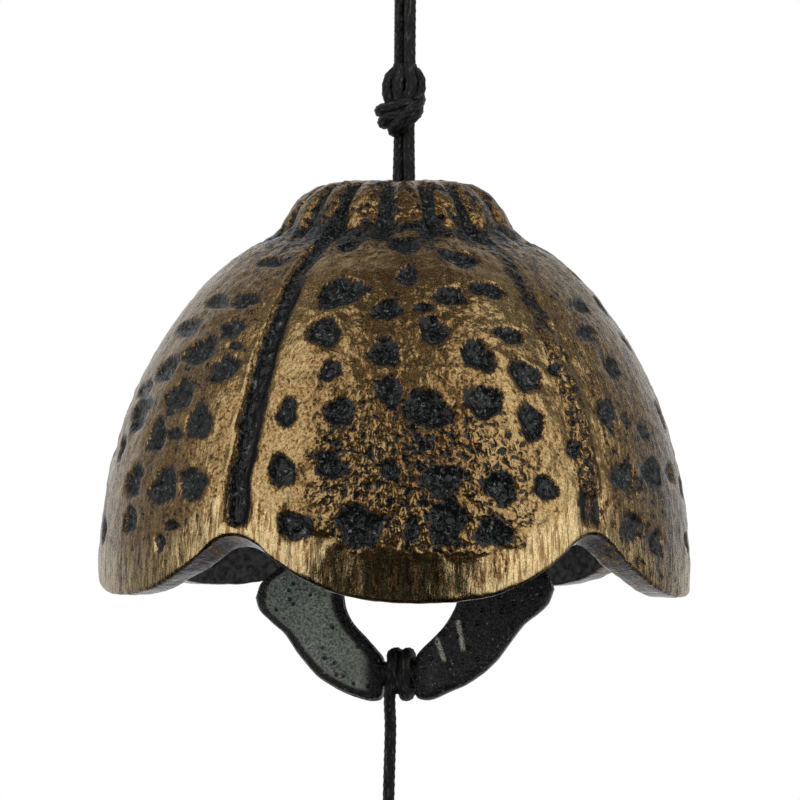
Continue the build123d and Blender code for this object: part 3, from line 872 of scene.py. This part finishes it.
SF = []
for i in range(nx):
    for j in range(nz):
        if hx0 <= i < hx1 and hz0 <= j < hz1:
            continue
        SF.append((grid_point(i, j), grid_point(i + 1, j), grid_point(i + 1, j + 1), grid_point(i, j + 1)))
border = ([(i, hz0) for i in range(hx0, hx1)] + [(hx1, j) for j in range(hz0, hz1)]
          + [(i, hz1) for i in range(hx1, hx0, -1)] + [(hx0, j) for j in range(hz1, hz0, -1)])
outer = [grid_point(i, j) for i, j in border]
prev = outer
for t in (0.35, 0.7, 1.0):
    ring = []
    for k, o in enumerate(outer):
        x, z = flat_v[o]
        a = atan2(z - HOLE_Z, x)
        hx, hz = HOLE_R * cos(a), HOLE_Z + HOLE_R * sin(a)
        ring.append(len(flat_v))
        flat_v.append((x + (hx - x) * t, z + (hz - z) * t))
    for k in range(len(outer)):
        m = (k + 1) % len(outer)
        SF.append((prev[k], prev[m], ring[m], ring[k]))
    prev = ring
fv = np.array(flat_v)
corner = 0.9
cx = np.clip(np.abs(fv[:, 0]) - (SW / 2 - corner), 0, None)
cz_ = np.clip(np.abs(fv[:, 1] - (S_TOP - SL / 2)) - (SL / 2 - corner), 0, None)
cl = np.hypot(cx, cz_)
shr = np.where(cl > corner, corner / np.maximum(cl, 1e-9), 1.0)
fv[:, 0] = np.sign(fv[:, 0]) * (np.abs(fv[:, 0]) - cx * (1 - shr))
fv[:, 1] = fv[:, 1] - np.sign(fv[:, 1] - (S_TOP - SL / 2)) * cz_ * (1 - shr)
down = (S_TOP - fv[:, 1]) / SL
calm = sstep(0.02, 0.2, down)
curl = calm * (0.0032 * fv[:, 0] ** 2 * (0.4 + down) + 0.9 * down ** 2 * sin(0.6)
               + 0.010 * fv[:, 0] * down * 6.0 + 0.35 * np.sin(down * 7.0) * down)
pn = np.c_[fv, 0 * fv[:, 0]]
curl = curl + calm * 0.10 * vnoise(pn, 0.12, 51)
nf = len(fv)
sv = []
for side in (-1, 1):
    b = curl + side * ST / 2
    sv.append(np.array([SX, SY, 0]) + sx * fv[:, 0:1] + sy * b[:, None] + np.array([0, 0, 1.0]) * fv[:, 1:2])
sv = np.vstack(sv)
edges = {}
for f in SF:
    for a, b in zip(f, f[1:] + f[:1]):
        edges[(a, b)] = edges.get((a, b), 0) + 1
faces = list(SF) + [tuple(nf + q for q in reversed(f)) for f in SF]
for a, b in edges:
    if (b, a) not in edges:
        faces.append((b, a, nf + a, nf + b))
strip = mesh_object("paper_strip", sv, faces)
cut = np.minimum(SW / 2 - np.abs(fv[:, 0]), np.minimum(S_TOP - fv[:, 1], fv[:, 1] - (S_TOP - SL)))
put(strip, "cut", np.r_[cut, cut])


# ------------------------------------------------------------------ materials
class Graph:
    """Short names for the shader nodes used below."""

    def __init__(self, name):
        self.mat = bpy.data.materials.new(name)
        self.mat.use_nodes = True
        self.nt = self.mat.node_tree
        self.nt.nodes.clear()
        out = self.nt.nodes.new("ShaderNodeOutputMaterial")
        self.bsdf = self.nt.nodes.new("ShaderNodeBsdfPrincipled")
        self.nt.links.new(self.bsdf.outputs[0], out.inputs[0])

    def to(self, socket, value):
        if hasattr(value, "is_output"):
            self.nt.links.new(value, socket)
        else:
            socket.default_value = value

    def set(self, **kw):
        for k, v in kw.items():
            self.to(self.bsdf.inputs[k.replace("_", " ")], v)

    def place(self, scale=(1000, 1000, 1000)):
        """The piece's own coordinates, in millimetres for the default scale."""
        tc = self.nt.nodes.new("ShaderNodeTexCoord")
        mp = self.nt.nodes.new("ShaderNodeMapping")
        mp.inputs["Scale"].default_value = scale
        self.nt.links.new(tc.outputs["Object"], mp.inputs["Vector"])
        return mp.outputs[0]

    def attr(self, name):
        a = self.nt.nodes.new("ShaderNodeAttribute")
        a.attribute_name = name
        return a.outputs["Fac"]

    def stretch(self, name, scale):
        """A vector stored on the mesh, scaled."""
        a = self.nt.nodes.new("ShaderNodeAttribute")
        a.attribute_name = name
        mp = self.nt.nodes.new("ShaderNodeMapping")
        mp.inputs["Scale"].default_value = scale
        self.nt.links.new(a.outputs["Vector"], mp.inputs["Vector"])
        return mp.outputs[0]

    def vector(self, x, y, z):
        n = self.nt.nodes.new("ShaderNodeCombineXYZ")
        for k, v in enumerate((x, y, z)):
            self.to(n.inputs[k], v)
        return n.outputs[0]

    def noise(self, at, scale, detail=2.0, rough=0.5, distort=0.0):
        n = self.nt.nodes.new("ShaderNodeTexNoise")
        self.nt.links.new(at, n.inputs["Vector"])
        n.inputs["Scale"].default_value = scale
        n.inputs["Detail"].default_value = detail
        n.inputs["Roughness"].default_value = rough
        n.inputs["Distortion"].default_value = distort
        return n.outputs["Fac"]

    def cells(self, at, scale, feature="F1", rand=1.0):
        n = self.nt.nodes.new("ShaderNodeTexVoronoi")
        n.feature = feature
        self.nt.links.new(at, n.inputs["Vector"])
        n.inputs["Scale"].default_value = scale
        n.inputs["Randomness"].default_value = rand
        return n.outputs["Distance"]

    def math(self, op, a, b=None, clamp=False):
        n = self.nt.nodes.new("ShaderNodeMath")
        n.operation = op
        n.use_clamp = clamp
        self.to(n.inputs[0], a)
        if b is not None:
            self.to(n.inputs[1], b)
        return n.outputs[0]

    def step(self, x, a, b, lo=0.0, hi=1.0):
        n = self.nt.nodes.new("ShaderNodeMapRange")
        n.interpolation_type = "SMOOTHSTEP"
        self.to(n.inputs["Value"], x)
        self.to(n.inputs["From Min"], a)
        self.to(n.inputs["From Max"], b)
        self.to(n.inputs["To Min"], lo)
        self.to(n.inputs["To Max"], hi)
        return n.outputs[0]

    def mix(self, f, a, b):
        n = self.nt.nodes.new("ShaderNodeMix")
        n.data_type = "FLOAT"
        self.to(n.inputs[0], f)
        self.to(n.inputs[2], a)
        self.to(n.inputs[3], b)
        return n.outputs[0]

    def colour(self, f, a, b, blend="MIX"):
        n = self.nt.nodes.new("ShaderNodeMix")
        n.data_type = "RGBA"
        n.blend_type = blend
        self.to(n.inputs[0], f)
        for socket, v in ((n.inputs[6], a), (n.inputs[7], b)):
            self.to(socket, v if hasattr(v, "is_output") else (*v, 1.0))
        return n.outputs[2]

    def bump(self, height, strength, distance):
        n = self.nt.nodes.new("ShaderNodeBump")
        n.inputs["Strength"].default_value = strength
        n.inputs["Distance"].default_value = distance
        self.nt.links.new(height, n.inputs["Height"])
        self.nt.links.new(n.outputs[0], self.bsdf.inputs["Normal"])


def bell_material():
    g = Graph("gold_brushed_lacquer")
    at = g.place()
    dim, gold_at, rough_at = g.attr("dimple"), g.attr("gold"), g.attr("rough")
    edge, groove_at, inside_at, flank_at = g.attr("edge"), g.attr("groove"), g.attr("inside"), g.attr("flank")
    thin_at = g.attr("thin")
    n_large = g.noise(at, 0.10, 3, 0.55)
    n_lump = g.noise(at, 0.50, 2, 0.5, 0.5)
    n_worm = g.noise(at, 1.0, 3.5, 0.58, 0.35)
    n_patch = g.noise(g.stretch("brush", (1, 1, 0.35)), 0.26, 3, 0.55, 0.4)
    n_fine = g.noise(at, 2.6, 3, 0.62)
    n_grain = g.noise(at, 5.5, 2, 0.6)
    n_brush = g.noise(g.stretch("brush", (1, 1, 0.6)), 3.0, 4, 0.72, 0.4)
    n_streak = g.noise(g.stretch("brush", (1, 1, 0.14)), 1.5, 4, 0.68, 0.3)
    n_hair = g.noise(g.stretch("brush", (1, 1, 0.10)), 3.2, 3, 0.6, 0.3)
    # curled ridges left by the casting sand
    curl = g.step(g.math("ABSOLUTE", g.math("SUBTRACT", n_worm, 0.52)), 0.16, 0.0)
    # how the brush caught the surface: strokes on smooth metal, crests on rough metal, streaks at the rim
    band = g.step(edge, 7.0, 4.6)
    crest = g.math("ADD", g.math("SUBTRACT", g.math("MULTIPLY", n_worm, 1.15), 0.20), g.math("MULTIPLY", curl, 0.16))
    catch = g.mix(rough_at, n_brush, crest)
    stroke = g.math("ADD", g.math("MULTIPLY", n_streak, 1.20), g.math("MULTIPLY", n_brush, 0.35))
    catch = g.mix(band, catch, g.math("SUBTRACT", stroke, 0.262))
    smear = g.math("MULTIPLY", g.math("SUBTRACT", n_streak, 0.5), flank_at)
    blot = g.math("MULTIPLY", g.math("SUBTRACT", n_worm, 0.5), flank_at)
    catch = g.math("ADD", catch, g.math("ADD", g.math("MULTIPLY", smear, 0.85), g.math("MULTIPLY", blot, 1.15)))
    catch = g.math("ADD", catch, g.math("MULTIPLY", g.math("SUBTRACT", n_fine, 0.5), g.mix(flank_at, 0.42, 0.80)))
    # level below which the lacquer stays bare
    level = g.math("ADD", 0.372, g.math("MULTIPLY", rough_at, 0.085))
    level = g.math("ADD", level, g.math("MULTIPLY", g.math("SUBTRACT", n_large, 0.5), 0.14))
    level = g.math("ADD", level, g.math("MULTIPLY", g.math("SUBTRACT", n_patch, 0.5), 0.30))
    level = g.math("SUBTRACT", level, g.math("MULTIPLY", band, 0.03))
    level = g.math("SUBTRACT", level, g.step(edge, 2.2, 0.9, 0.0, 0.09))
    level = g.math("ADD", level, g.math("MULTIPLY", g.math("SUBTRACT", 1.0, gold_at), 0.36))
    torn = g.math("ADD", g.math("MULTIPLY", g.math("SUBTRACT", n_worm, 0.5), 0.75),
                  g.math("MULTIPLY", g.math("SUBTRACT", n_fine, 0.5), 0.60))
    torn = g.math("ADD", torn, g.math("MULTIPLY", g.math("SUBTRACT", n_brush, 0.5), -0.55))
    dim = g.math("ADD", g.math("ADD", dim, torn), g.math("MULTIPLY", smear, -1.4))
    level = g.math("ADD", level, g.step(dim, -0.40, 0.46, 0.0, 0.52))
    level = g.math("ADD", level, g.math("MULTIPLY", inside_at, 1.0))
    over = g.math("SUBTRACT", catch, level)
    paint = g.step(over, -0.07, 0.07)
    thick = g.math("MULTIPLY", g.step(over, -0.02, g.mix(band, 0.345, 0.23)), g.step(thin_at, 0.0, 1.0, 1.0, 0.66))
    full_gold = g.colour(band, (0.372, 0.290, 0.146), (0.465, 0.365, 0.190))
    gold_col = g.colour(thick, (0.150, 0.078, 0.023), full_gold)
    gold_col = g.colour(g.step(n_grain, 0.36, 0.62), g.colour(0.62, gold_col, (0.12, 0.062, 0.022)), gold_col)
    hair = g.math("MULTIPLY", g.step(n_hair, 0.54, 0.38), g.mix(band, g.math("MULTIPLY", flank_at, 0.8), 0.85))
    gold_col = g.colour(hair, gold_col, (0.115, 0.055, 0.018))
    black = g.colour(g.step(n_grain, 0.3, 0.7), (0.0022, 0.0022, 0.0026), (0.0065, 0.0072, 0.0076))
    # painted sheen: on the flanks the black lacquer turns lighter grey in patches, for the pale backdrop's reflection
    # at grazing angles
    black = g.colour(g.math("MULTIPLY", flank_at, g.step(n_worm, 0.40, 0.60, 0.0, 0.85)), black, (0.036, 0.038, 0.039))
    # pale grey-teal specks in the pits, rough zones and grooves: partly lacquer worn thin by the sand, partly painted
    # glints
    pit = g.step(dim, -0.1, 0.3)
    worn_glints = g.math("MULTIPLY", g.step(g.noise(at, 1.7, 3, 0.62, 0.6), 0.55, 0.69), g.math("MAXIMUM", pit, g.math("MULTIPLY", rough_at, 0.55)))
    worn_glints = g.math("MULTIPLY", g.math("MAXIMUM", worn_glints, g.math("MULTIPLY", g.step(n_worm, 0.56, 0.70), groove_at)), g.step(n_fine, 0.36, 0.58))
    black = g.colour(g.math("MULTIPLY", worn_glints, 0.9), black, (0.150, 0.170, 0.165))
    black = g.colour(inside_at, black, g.colour(g.step(n_worm, 0.38, 0.62), (0.016, 0.016, 0.016), (0.058, 0.058, 0.060)))
    rim_face = g.step(edge, 0.25, 0.03)
    black = g.colour(rim_face, black, g.colour(g.step(n_brush, 0.35, 0.65), (0.026, 0.023, 0.026), (0.078, 0.071, 0.080)))
    g.set(Base_Color=g.colour(paint, black, gold_col),
          Metallic=g.math("MULTIPLY", paint, g.step(thick, 0.0, 1.0, 0.92, 1.0)),
          Roughness=g.mix(paint, g.mix(inside_at, g.step(n_fine, 0.2, 0.8, 0.07, 0.17), 0.42),
                          g.step(n_grain, 0.2, 0.8, 0.21, 0.31)))
    g.bsdf.inputs["Specular IOR Level"].default_value = 0.15
    sandy = g.math("MAXIMUM", groove_at, pit)
    lumps = g.math("ADD", 0.11, g.math("ADD", g.math("MULTIPLY", rough_at, 0.40), g.math("MULTIPLY", groove_at, 0.6)))
    h = g.math("MULTIPLY", g.noise(at, 1.15, 1.3, 0.45, 0.4), lumps)
    spots = g.step(g.noise(at, 1.5, 1.5, 0.5, 0.3), 0.50, 0.72)
    h = g.math("ADD", h, g.math("MULTIPLY", spots, g.math("MULTIPLY", sandy, 0.55)))
    h = g.math("ADD", h, g.math("MULTIPLY", g.noise(at, 1.0, 1.2, 0.5, 0.35), g.math("MULTIPLY", rough_at, 1.85)))
    h = g.math("ADD", h, g.math("MULTIPLY", n_lump, 0.34))
    h = g.math("ADD", h, g.math("MULTIPLY", n_brush, 0.06))
    h = g.math("MULTIPLY", h, g.mix(band, 1.0, 0.5))
    h = g.math("ADD", h, g.math("MULTIPLY", n_worm, g.math("MULTIPLY", g.math("MAXIMUM", inside_at, rim_face), 0.6)))
    h = g.math("ADD", h, g.math("MULTIPLY", n_streak, g.math("MULTIPLY", flank_at, 0.60)))
    h = g.math("ADD", h, g.math("MULTIPLY", n_streak, g.math("MULTIPLY", band, 0.17)))
    h = g.math("ADD", h, g.math("MULTIPLY", n_hair, g.math("MULTIPLY", g.math("MAXIMUM", band, flank_at), 0.08)))
    h = g.math("ADD", h, g.math("MULTIPLY", n_fine, g.math("MULTIPLY", pit, 0.05)))
    h = g.math("ADD", h, g.math("MULTIPLY", paint, 0.045))
    h = g.math("ADD", h, g.math("MULTIPLY", n_fine, 0.06))
    h = g.math("ADD", h, g.math("MULTIPLY", n_grain, 0.010))
    g.bump(h, 1.0, 0.00032)
    return g.mat


def clapper_material():
    g = Graph("sand_cast_black")
    at = g.place()
    left, scr, face = g.attr("left"), g.attr("scratch"), g.attr("face")
    sandy = g.noise(at, 2.9, 2.0, 0.55)
    grain = g.noise(at, 5.5, 2, 0.6)
    big = g.noise(at, 0.25, 3, 0.5)
    holes = g.step(g.cells(at, 0.62), 0.24, 0.10)
    base = g.colour(g.step(sandy, 0.3, 0.7), (0.004, 0.004, 0.0045), (0.012, 0.0125, 0.012))
    grey = g.colour(g.step(sandy, 0.3, 0.7), (0.085, 0.100, 0.088), (0.30, 0.335, 0.295))
    # grey sandy face on the left wing only, the right wing stays black: partly a grey cast skin, partly painted light,
    # as this wing faces the left lamp
    left_grey_lit = g.math("MULTIPLY", g.math("MULTIPLY", left, face), g.step(big, 0.2, 0.7, 0.6, 1.0))
    col = g.colour(left_grey_lit, base, grey)
    # painted highlight: a pale line along the border of the left wing's faces
    line = g.math("MULTIPLY", g.math("MULTIPLY", face, g.math("SUBTRACT", 1.0, face)), g.math("MULTIPLY", left, 2.2))
    col = g.colour(g.math("MULTIPLY", line, g.step(grain, 0.3, 0.6)), col, (0.30, 0.31, 0.25))
    torn = g.math("MULTIPLY", scr, g.step(grain, 0.36, 0.56))
    col = g.colour(torn, col, (0.34, 0.32, 0.26))
    col = g.colour(g.math("MULTIPLY", holes, 0.85), col, (0.005, 0.005, 0.005))
    speck = g.math("MULTIPLY", g.step(g.noise(at, 2.3, 1.0, 0.5), 0.70, 0.76), g.mix(left_grey_lit, 0.55, 0.25))
    col = g.colour(speck, col, (0.30, 0.30, 0.27))
    g.set(Base_Color=col, Roughness=g.mix(left_grey_lit, g.step(sandy, 0.2, 0.8, 0.18, 0.34), g.step(sandy, 0.2, 0.8, 0.40, 0.55)))
    g.bsdf.inputs["Specular IOR Level"].default_value = 0.4
    h = g.math("ADD", g.math("MULTIPLY", sandy, 1.0), g.math("MULTIPLY", grain, 0.30))
    h = g.math("MULTIPLY", h, g.mix(left, 0.35, 1.0))
    h = g.math("SUBTRACT", h, g.math("MULTIPLY", holes, 0.9))
    g.bump(h, 1.0, 0.00062)
    return g.mat


def cord_material():
    g = Graph("black_braid")
    at = g.place()
    relief, along, round_ = g.attr("relief"), g.attr("along"), g.attr("around")
    n = g.noise(at, 3.0, 3, 0.6)
    fuzz = g.noise(at, 9.0, 2, 0.6)
    yarn = g.math("SINE", g.math("MULTIPLY", g.math("ADD", along, round_), 34.0))
    fib = g.noise(g.vector(g.math("MULTIPLY", round_, 3.6), g.math("MULTIPLY", along, 0.60), relief), 1.0, 3, 0.6)
    # painted shade and highlight: darker down in the braid's gaps, lighter on the crossing yarns and in patches on
    # their crests
    col = g.colour(g.step(relief, 0.25, 0.95), (0.0012, 0.0013, 0.0012), (0.0105, 0.0110, 0.0100))
    col = g.colour(g.math("MULTIPLY", g.step(n, 0.52, 0.72), g.step(relief, 0.5, 1.0)), col, (0.020, 0.0205, 0.0195))
    col = g.colour(g.step(fib, 0.42, 0.66), g.colour(0.55, col, (0.0015, 0.0015, 0.0015)), col)
    # painted highlights: pale flecks along the fibres
    col = g.colour(g.step(fib, 0.56, 0.68, 0.0, 0.9), col, (0.075, 0.078, 0.070))
    g.set(Base_Color=col, Roughness=g.step(n, 0.2, 0.8, 0.36, 0.54))
    g.bsdf.inputs["Specular IOR Level"].default_value = 0.22
    g.bsdf.inputs["Sheen Weight"].default_value = 0.01
    g.bsdf.inputs["Sheen Roughness"].default_value = 0.45
    h = g.math("ADD", g.math("MULTIPLY", yarn, 0.25), g.math("MULTIPLY", fuzz, 0.7))
    h = g.math("ADD", h, g.math("MULTIPLY", fib, 1.6))
    g.bump(h, 0.7, 0.00009)
    return g.mat


def paper_material():
    g = Graph("fibre_paper")
    at = g.place()
    long_ = g.place((1000, 1000, 300))
    cut = g.attr("cut")
    cloud = g.noise(at, 0.09, 4, 0.6)
    fib = g.step(g.noise(long_, 1.3, 4, 0.65, 2.2), 0.50, 0.58)
    fib2 = g.step(g.noise(at, 0.9, 4, 0.7, 3.0), 0.545, 0.60)
    col = g.colour(g.step(cloud, 0.3, 0.7), (0.80, 0.745, 0.615), (0.87, 0.83, 0.72))
    col = g.colour(g.math("MULTIPLY", fib, 0.35), col, (0.93, 0.90, 0.82))
    col = g.colour(g.math("MULTIPLY", fib2, 0.30), col, (0.60, 0.52, 0.38))
    col = g.colour(g.step(cut, 0.35, 0.0, 0.0, 0.35), col, (0.62, 0.54, 0.40))
    g.set(Base_Color=col, Roughness=g.step(cloud, 0.2, 0.8, 0.72, 0.86))
    g.bsdf.inputs["Subsurface Weight"].default_value = 0.0
    h = g.math("ADD", g.math("MULTIPLY", fib, 0.5), g.math("MULTIPLY", g.noise(at, 4.0, 3, 0.6), 0.6))
    g.bump(h, 0.5, 0.00006)
    return g.mat


m_bell, m_clap, m_cord, m_paper = bell_material(), clapper_material(), cord_material(), paper_material()


def finish_piece(ob, material, body, nodes):
    ob.data.materials.clear()
    ob.data.materials.append(material)
    if body:
        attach(ob, body)
    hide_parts(*nodes)


finish_piece(bell, m_bell, "bell", ["bell_casting"])
finish_piece(stop_knot, m_cord, "bell", ["stopper_knot"])
finish_piece(hang, m_cord, "hanger", ["hanging_loop"])
finish_piece(knot, m_cord, "hanger", ["top_knot"])
finish_piece(neck_l, m_cord, "neck", ["neck_strand_left"])
finish_piece(neck_r, m_cord, "neck", ["neck_strand_right"])
finish_piece(clap_cord, m_cord, None, ["clapper_cord"])
finish_piece(clapper, m_clap, "clapper", ["clapper_ring"])
finish_piece(low_lash, m_cord, "clapper", ["lower_lashing"])
finish_piece(up_lash, m_cord, "clapper", ["upper_lashing"])
finish_piece(strip_cord, m_cord, None, ["strip_cord"])
finish_piece(strip_knot, m_cord, "strip", ["strip_knot"])
finish_piece(strip_loop, m_cord, "strip", ["strip_loop"])
finish_piece(strip, m_paper, "strip", ["wind_strip"])
for name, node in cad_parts.items():      # hidden solids carry the finish of what stands for them
    node.data.materials.clear()
    node.data.materials.append({"bell_casting": m_bell, "clapper_ring": m_clap, "wind_strip": m_paper}.get(name, m_cord))

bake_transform(clap_cord)
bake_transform(strip_cord)


# ------------------------------------------------------------------ studio
def area(name, az, el, dist, w, h, power, aim=(BELL_X, 0, 24)):
    data = bpy.data.lights.new(name, "AREA")
    data.shape = "RECTANGLE"
    data.size, data.size_y = w, h
    data.energy = power
    ob = link(bpy.data.objects.new(name, data))
    a, e = radians(az), radians(el)
    d = Vector((sin(a) * cos(e), -cos(a) * cos(e), sin(e)))
    ob.location = Vector(row(aim)) + d * dist
    ob.rotation_mode = "QUATERNION"
    ob.rotation_quaternion = d.to_track_quat("Z", "Y")
    ob.visible_camera = False
    return ob


area("softbox_left", -57.5, 25, 1.0, 0.85, 1.5, 8.4)
area("softbox_right", 48.5, 25, 1.0, 0.85, 1.5, 9.2)
area("fill_left", -92.0, 8, 1.0, 0.6, 1.0, 1.10)
area("fill_right", 84.0, 8, 1.0, 0.6, 1.0, 1.18)

world = bpy.data.worlds.new("studio")
scene.world = world
world.use_nodes = True
wt = world.node_tree
wt.nodes.clear()


def world_node(kind, **values):
    n = wt.nodes.new(kind)
    for k, v in values.items():
        n.inputs[k.replace("_", " ")].default_value = v
    return n


w_out = world_node("ShaderNodeOutputWorld")
w_mix = world_node("ShaderNodeMixShader")
lp = world_node("ShaderNodeLightPath")
seen = world_node("ShaderNodeBackground", Color=(1, 1, 1, 1), Strength=1.0)
lit = world_node("ShaderNodeBackground", Color=(0.97, 0.985, 1.0, 1))
sep = world_node("ShaderNodeSeparateXYZ")
wt.links.new(world_node("ShaderNodeTexCoord").outputs["Generated"], sep.inputs[0])
# a white backdrop behind, a pale ceiling towards it, and a dark room on the camera's side
back = world_node("ShaderNodeMapRange", From_Min=0.20, From_Max=0.92, To_Min=0.012, To_Max=1.0)
ceil = world_node("ShaderNodeMapRange", From_Min=0.45, From_Max=0.90, To_Min=0.0, To_Max=0.85)
lean = world_node("ShaderNodeMapRange", From_Min=0.02, From_Max=0.45, To_Min=0.06, To_Max=1.0)
for n, axis in ((back, "Y"), (ceil, "Z"), (lean, "Y")):
    n.interpolation_type = "SMOOTHSTEP"
    wt.links.new(sep.outputs[axis], n.inputs["Value"])
over_head = world_node("ShaderNodeMath")
over_head.operation = "MULTIPLY"
wt.links.new(ceil.outputs[0], over_head.inputs[0])
wt.links.new(lean.outputs[0], over_head.inputs[1])
both = world_node("ShaderNodeMath")
both.operation = "MAXIMUM"
wt.links.new(back.outputs[0], both.inputs[0])
wt.links.new(over_head.outputs[0], both.inputs[1])
wt.links.new(both.outputs[0], lit.inputs["Strength"])
wt.links.new(lp.outputs["Is Camera Ray"], w_mix.inputs[0])
wt.links.new(lit.outputs[0], w_mix.inputs[1])
wt.links.new(seen.outputs[0], w_mix.inputs[2])
wt.links.new(w_mix.outputs[0], w_out.inputs[0])

floor_me = bpy.data.meshes.new("floor")
fz = float(row((0, 0, -150.0))[2])
FLOOR_R, FLOOR_N = 1.14, 96
floor_me.from_pydata([(FLOOR_R * cos(TAU * k / FLOOR_N), FLOOR_R * sin(TAU * k / FLOOR_N), fz) for k in range(FLOOR_N)],
                     [], [tuple(range(FLOOR_N))])
floor = link(bpy.data.objects.new("floor", floor_me))
gf = Graph("pale_floor")
gn = gf.noise(gf.place((30, 30, 30)), 1.0, 3, 0.5)
gl = gf.nt.nodes.new("ShaderNodeVectorMath")
gl.operation = "LENGTH"
gf.nt.links.new(gf.place((1, 1, 0)), gl.inputs[0])
# the floor glows, more strongly towards its edge, so that it fades into the white backdrop: painted light
gf.set(Base_Color=gf.colour(gn, (0.86, 0.86, 0.86), (0.90, 0.90, 0.90)), Roughness=gf.step(gn, 0.2, 0.8, 0.6, 0.75),
       Emission_Strength=gf.step(gl.outputs["Value"], 0.45, 1.08, 0.0, 0.8))
gf.bsdf.inputs["Emission Color"].default_value = (1, 1, 1, 1)
floor_me.materials.append(gf.mat)
floor.visible_glossy = False                   # the bell hangs far above it

scene.view_settings.view_transform = "Standard"
scene.view_settings.look = "None"
scene.view_settings.exposure = 0.0
scene.view_settings.gamma = 1.0
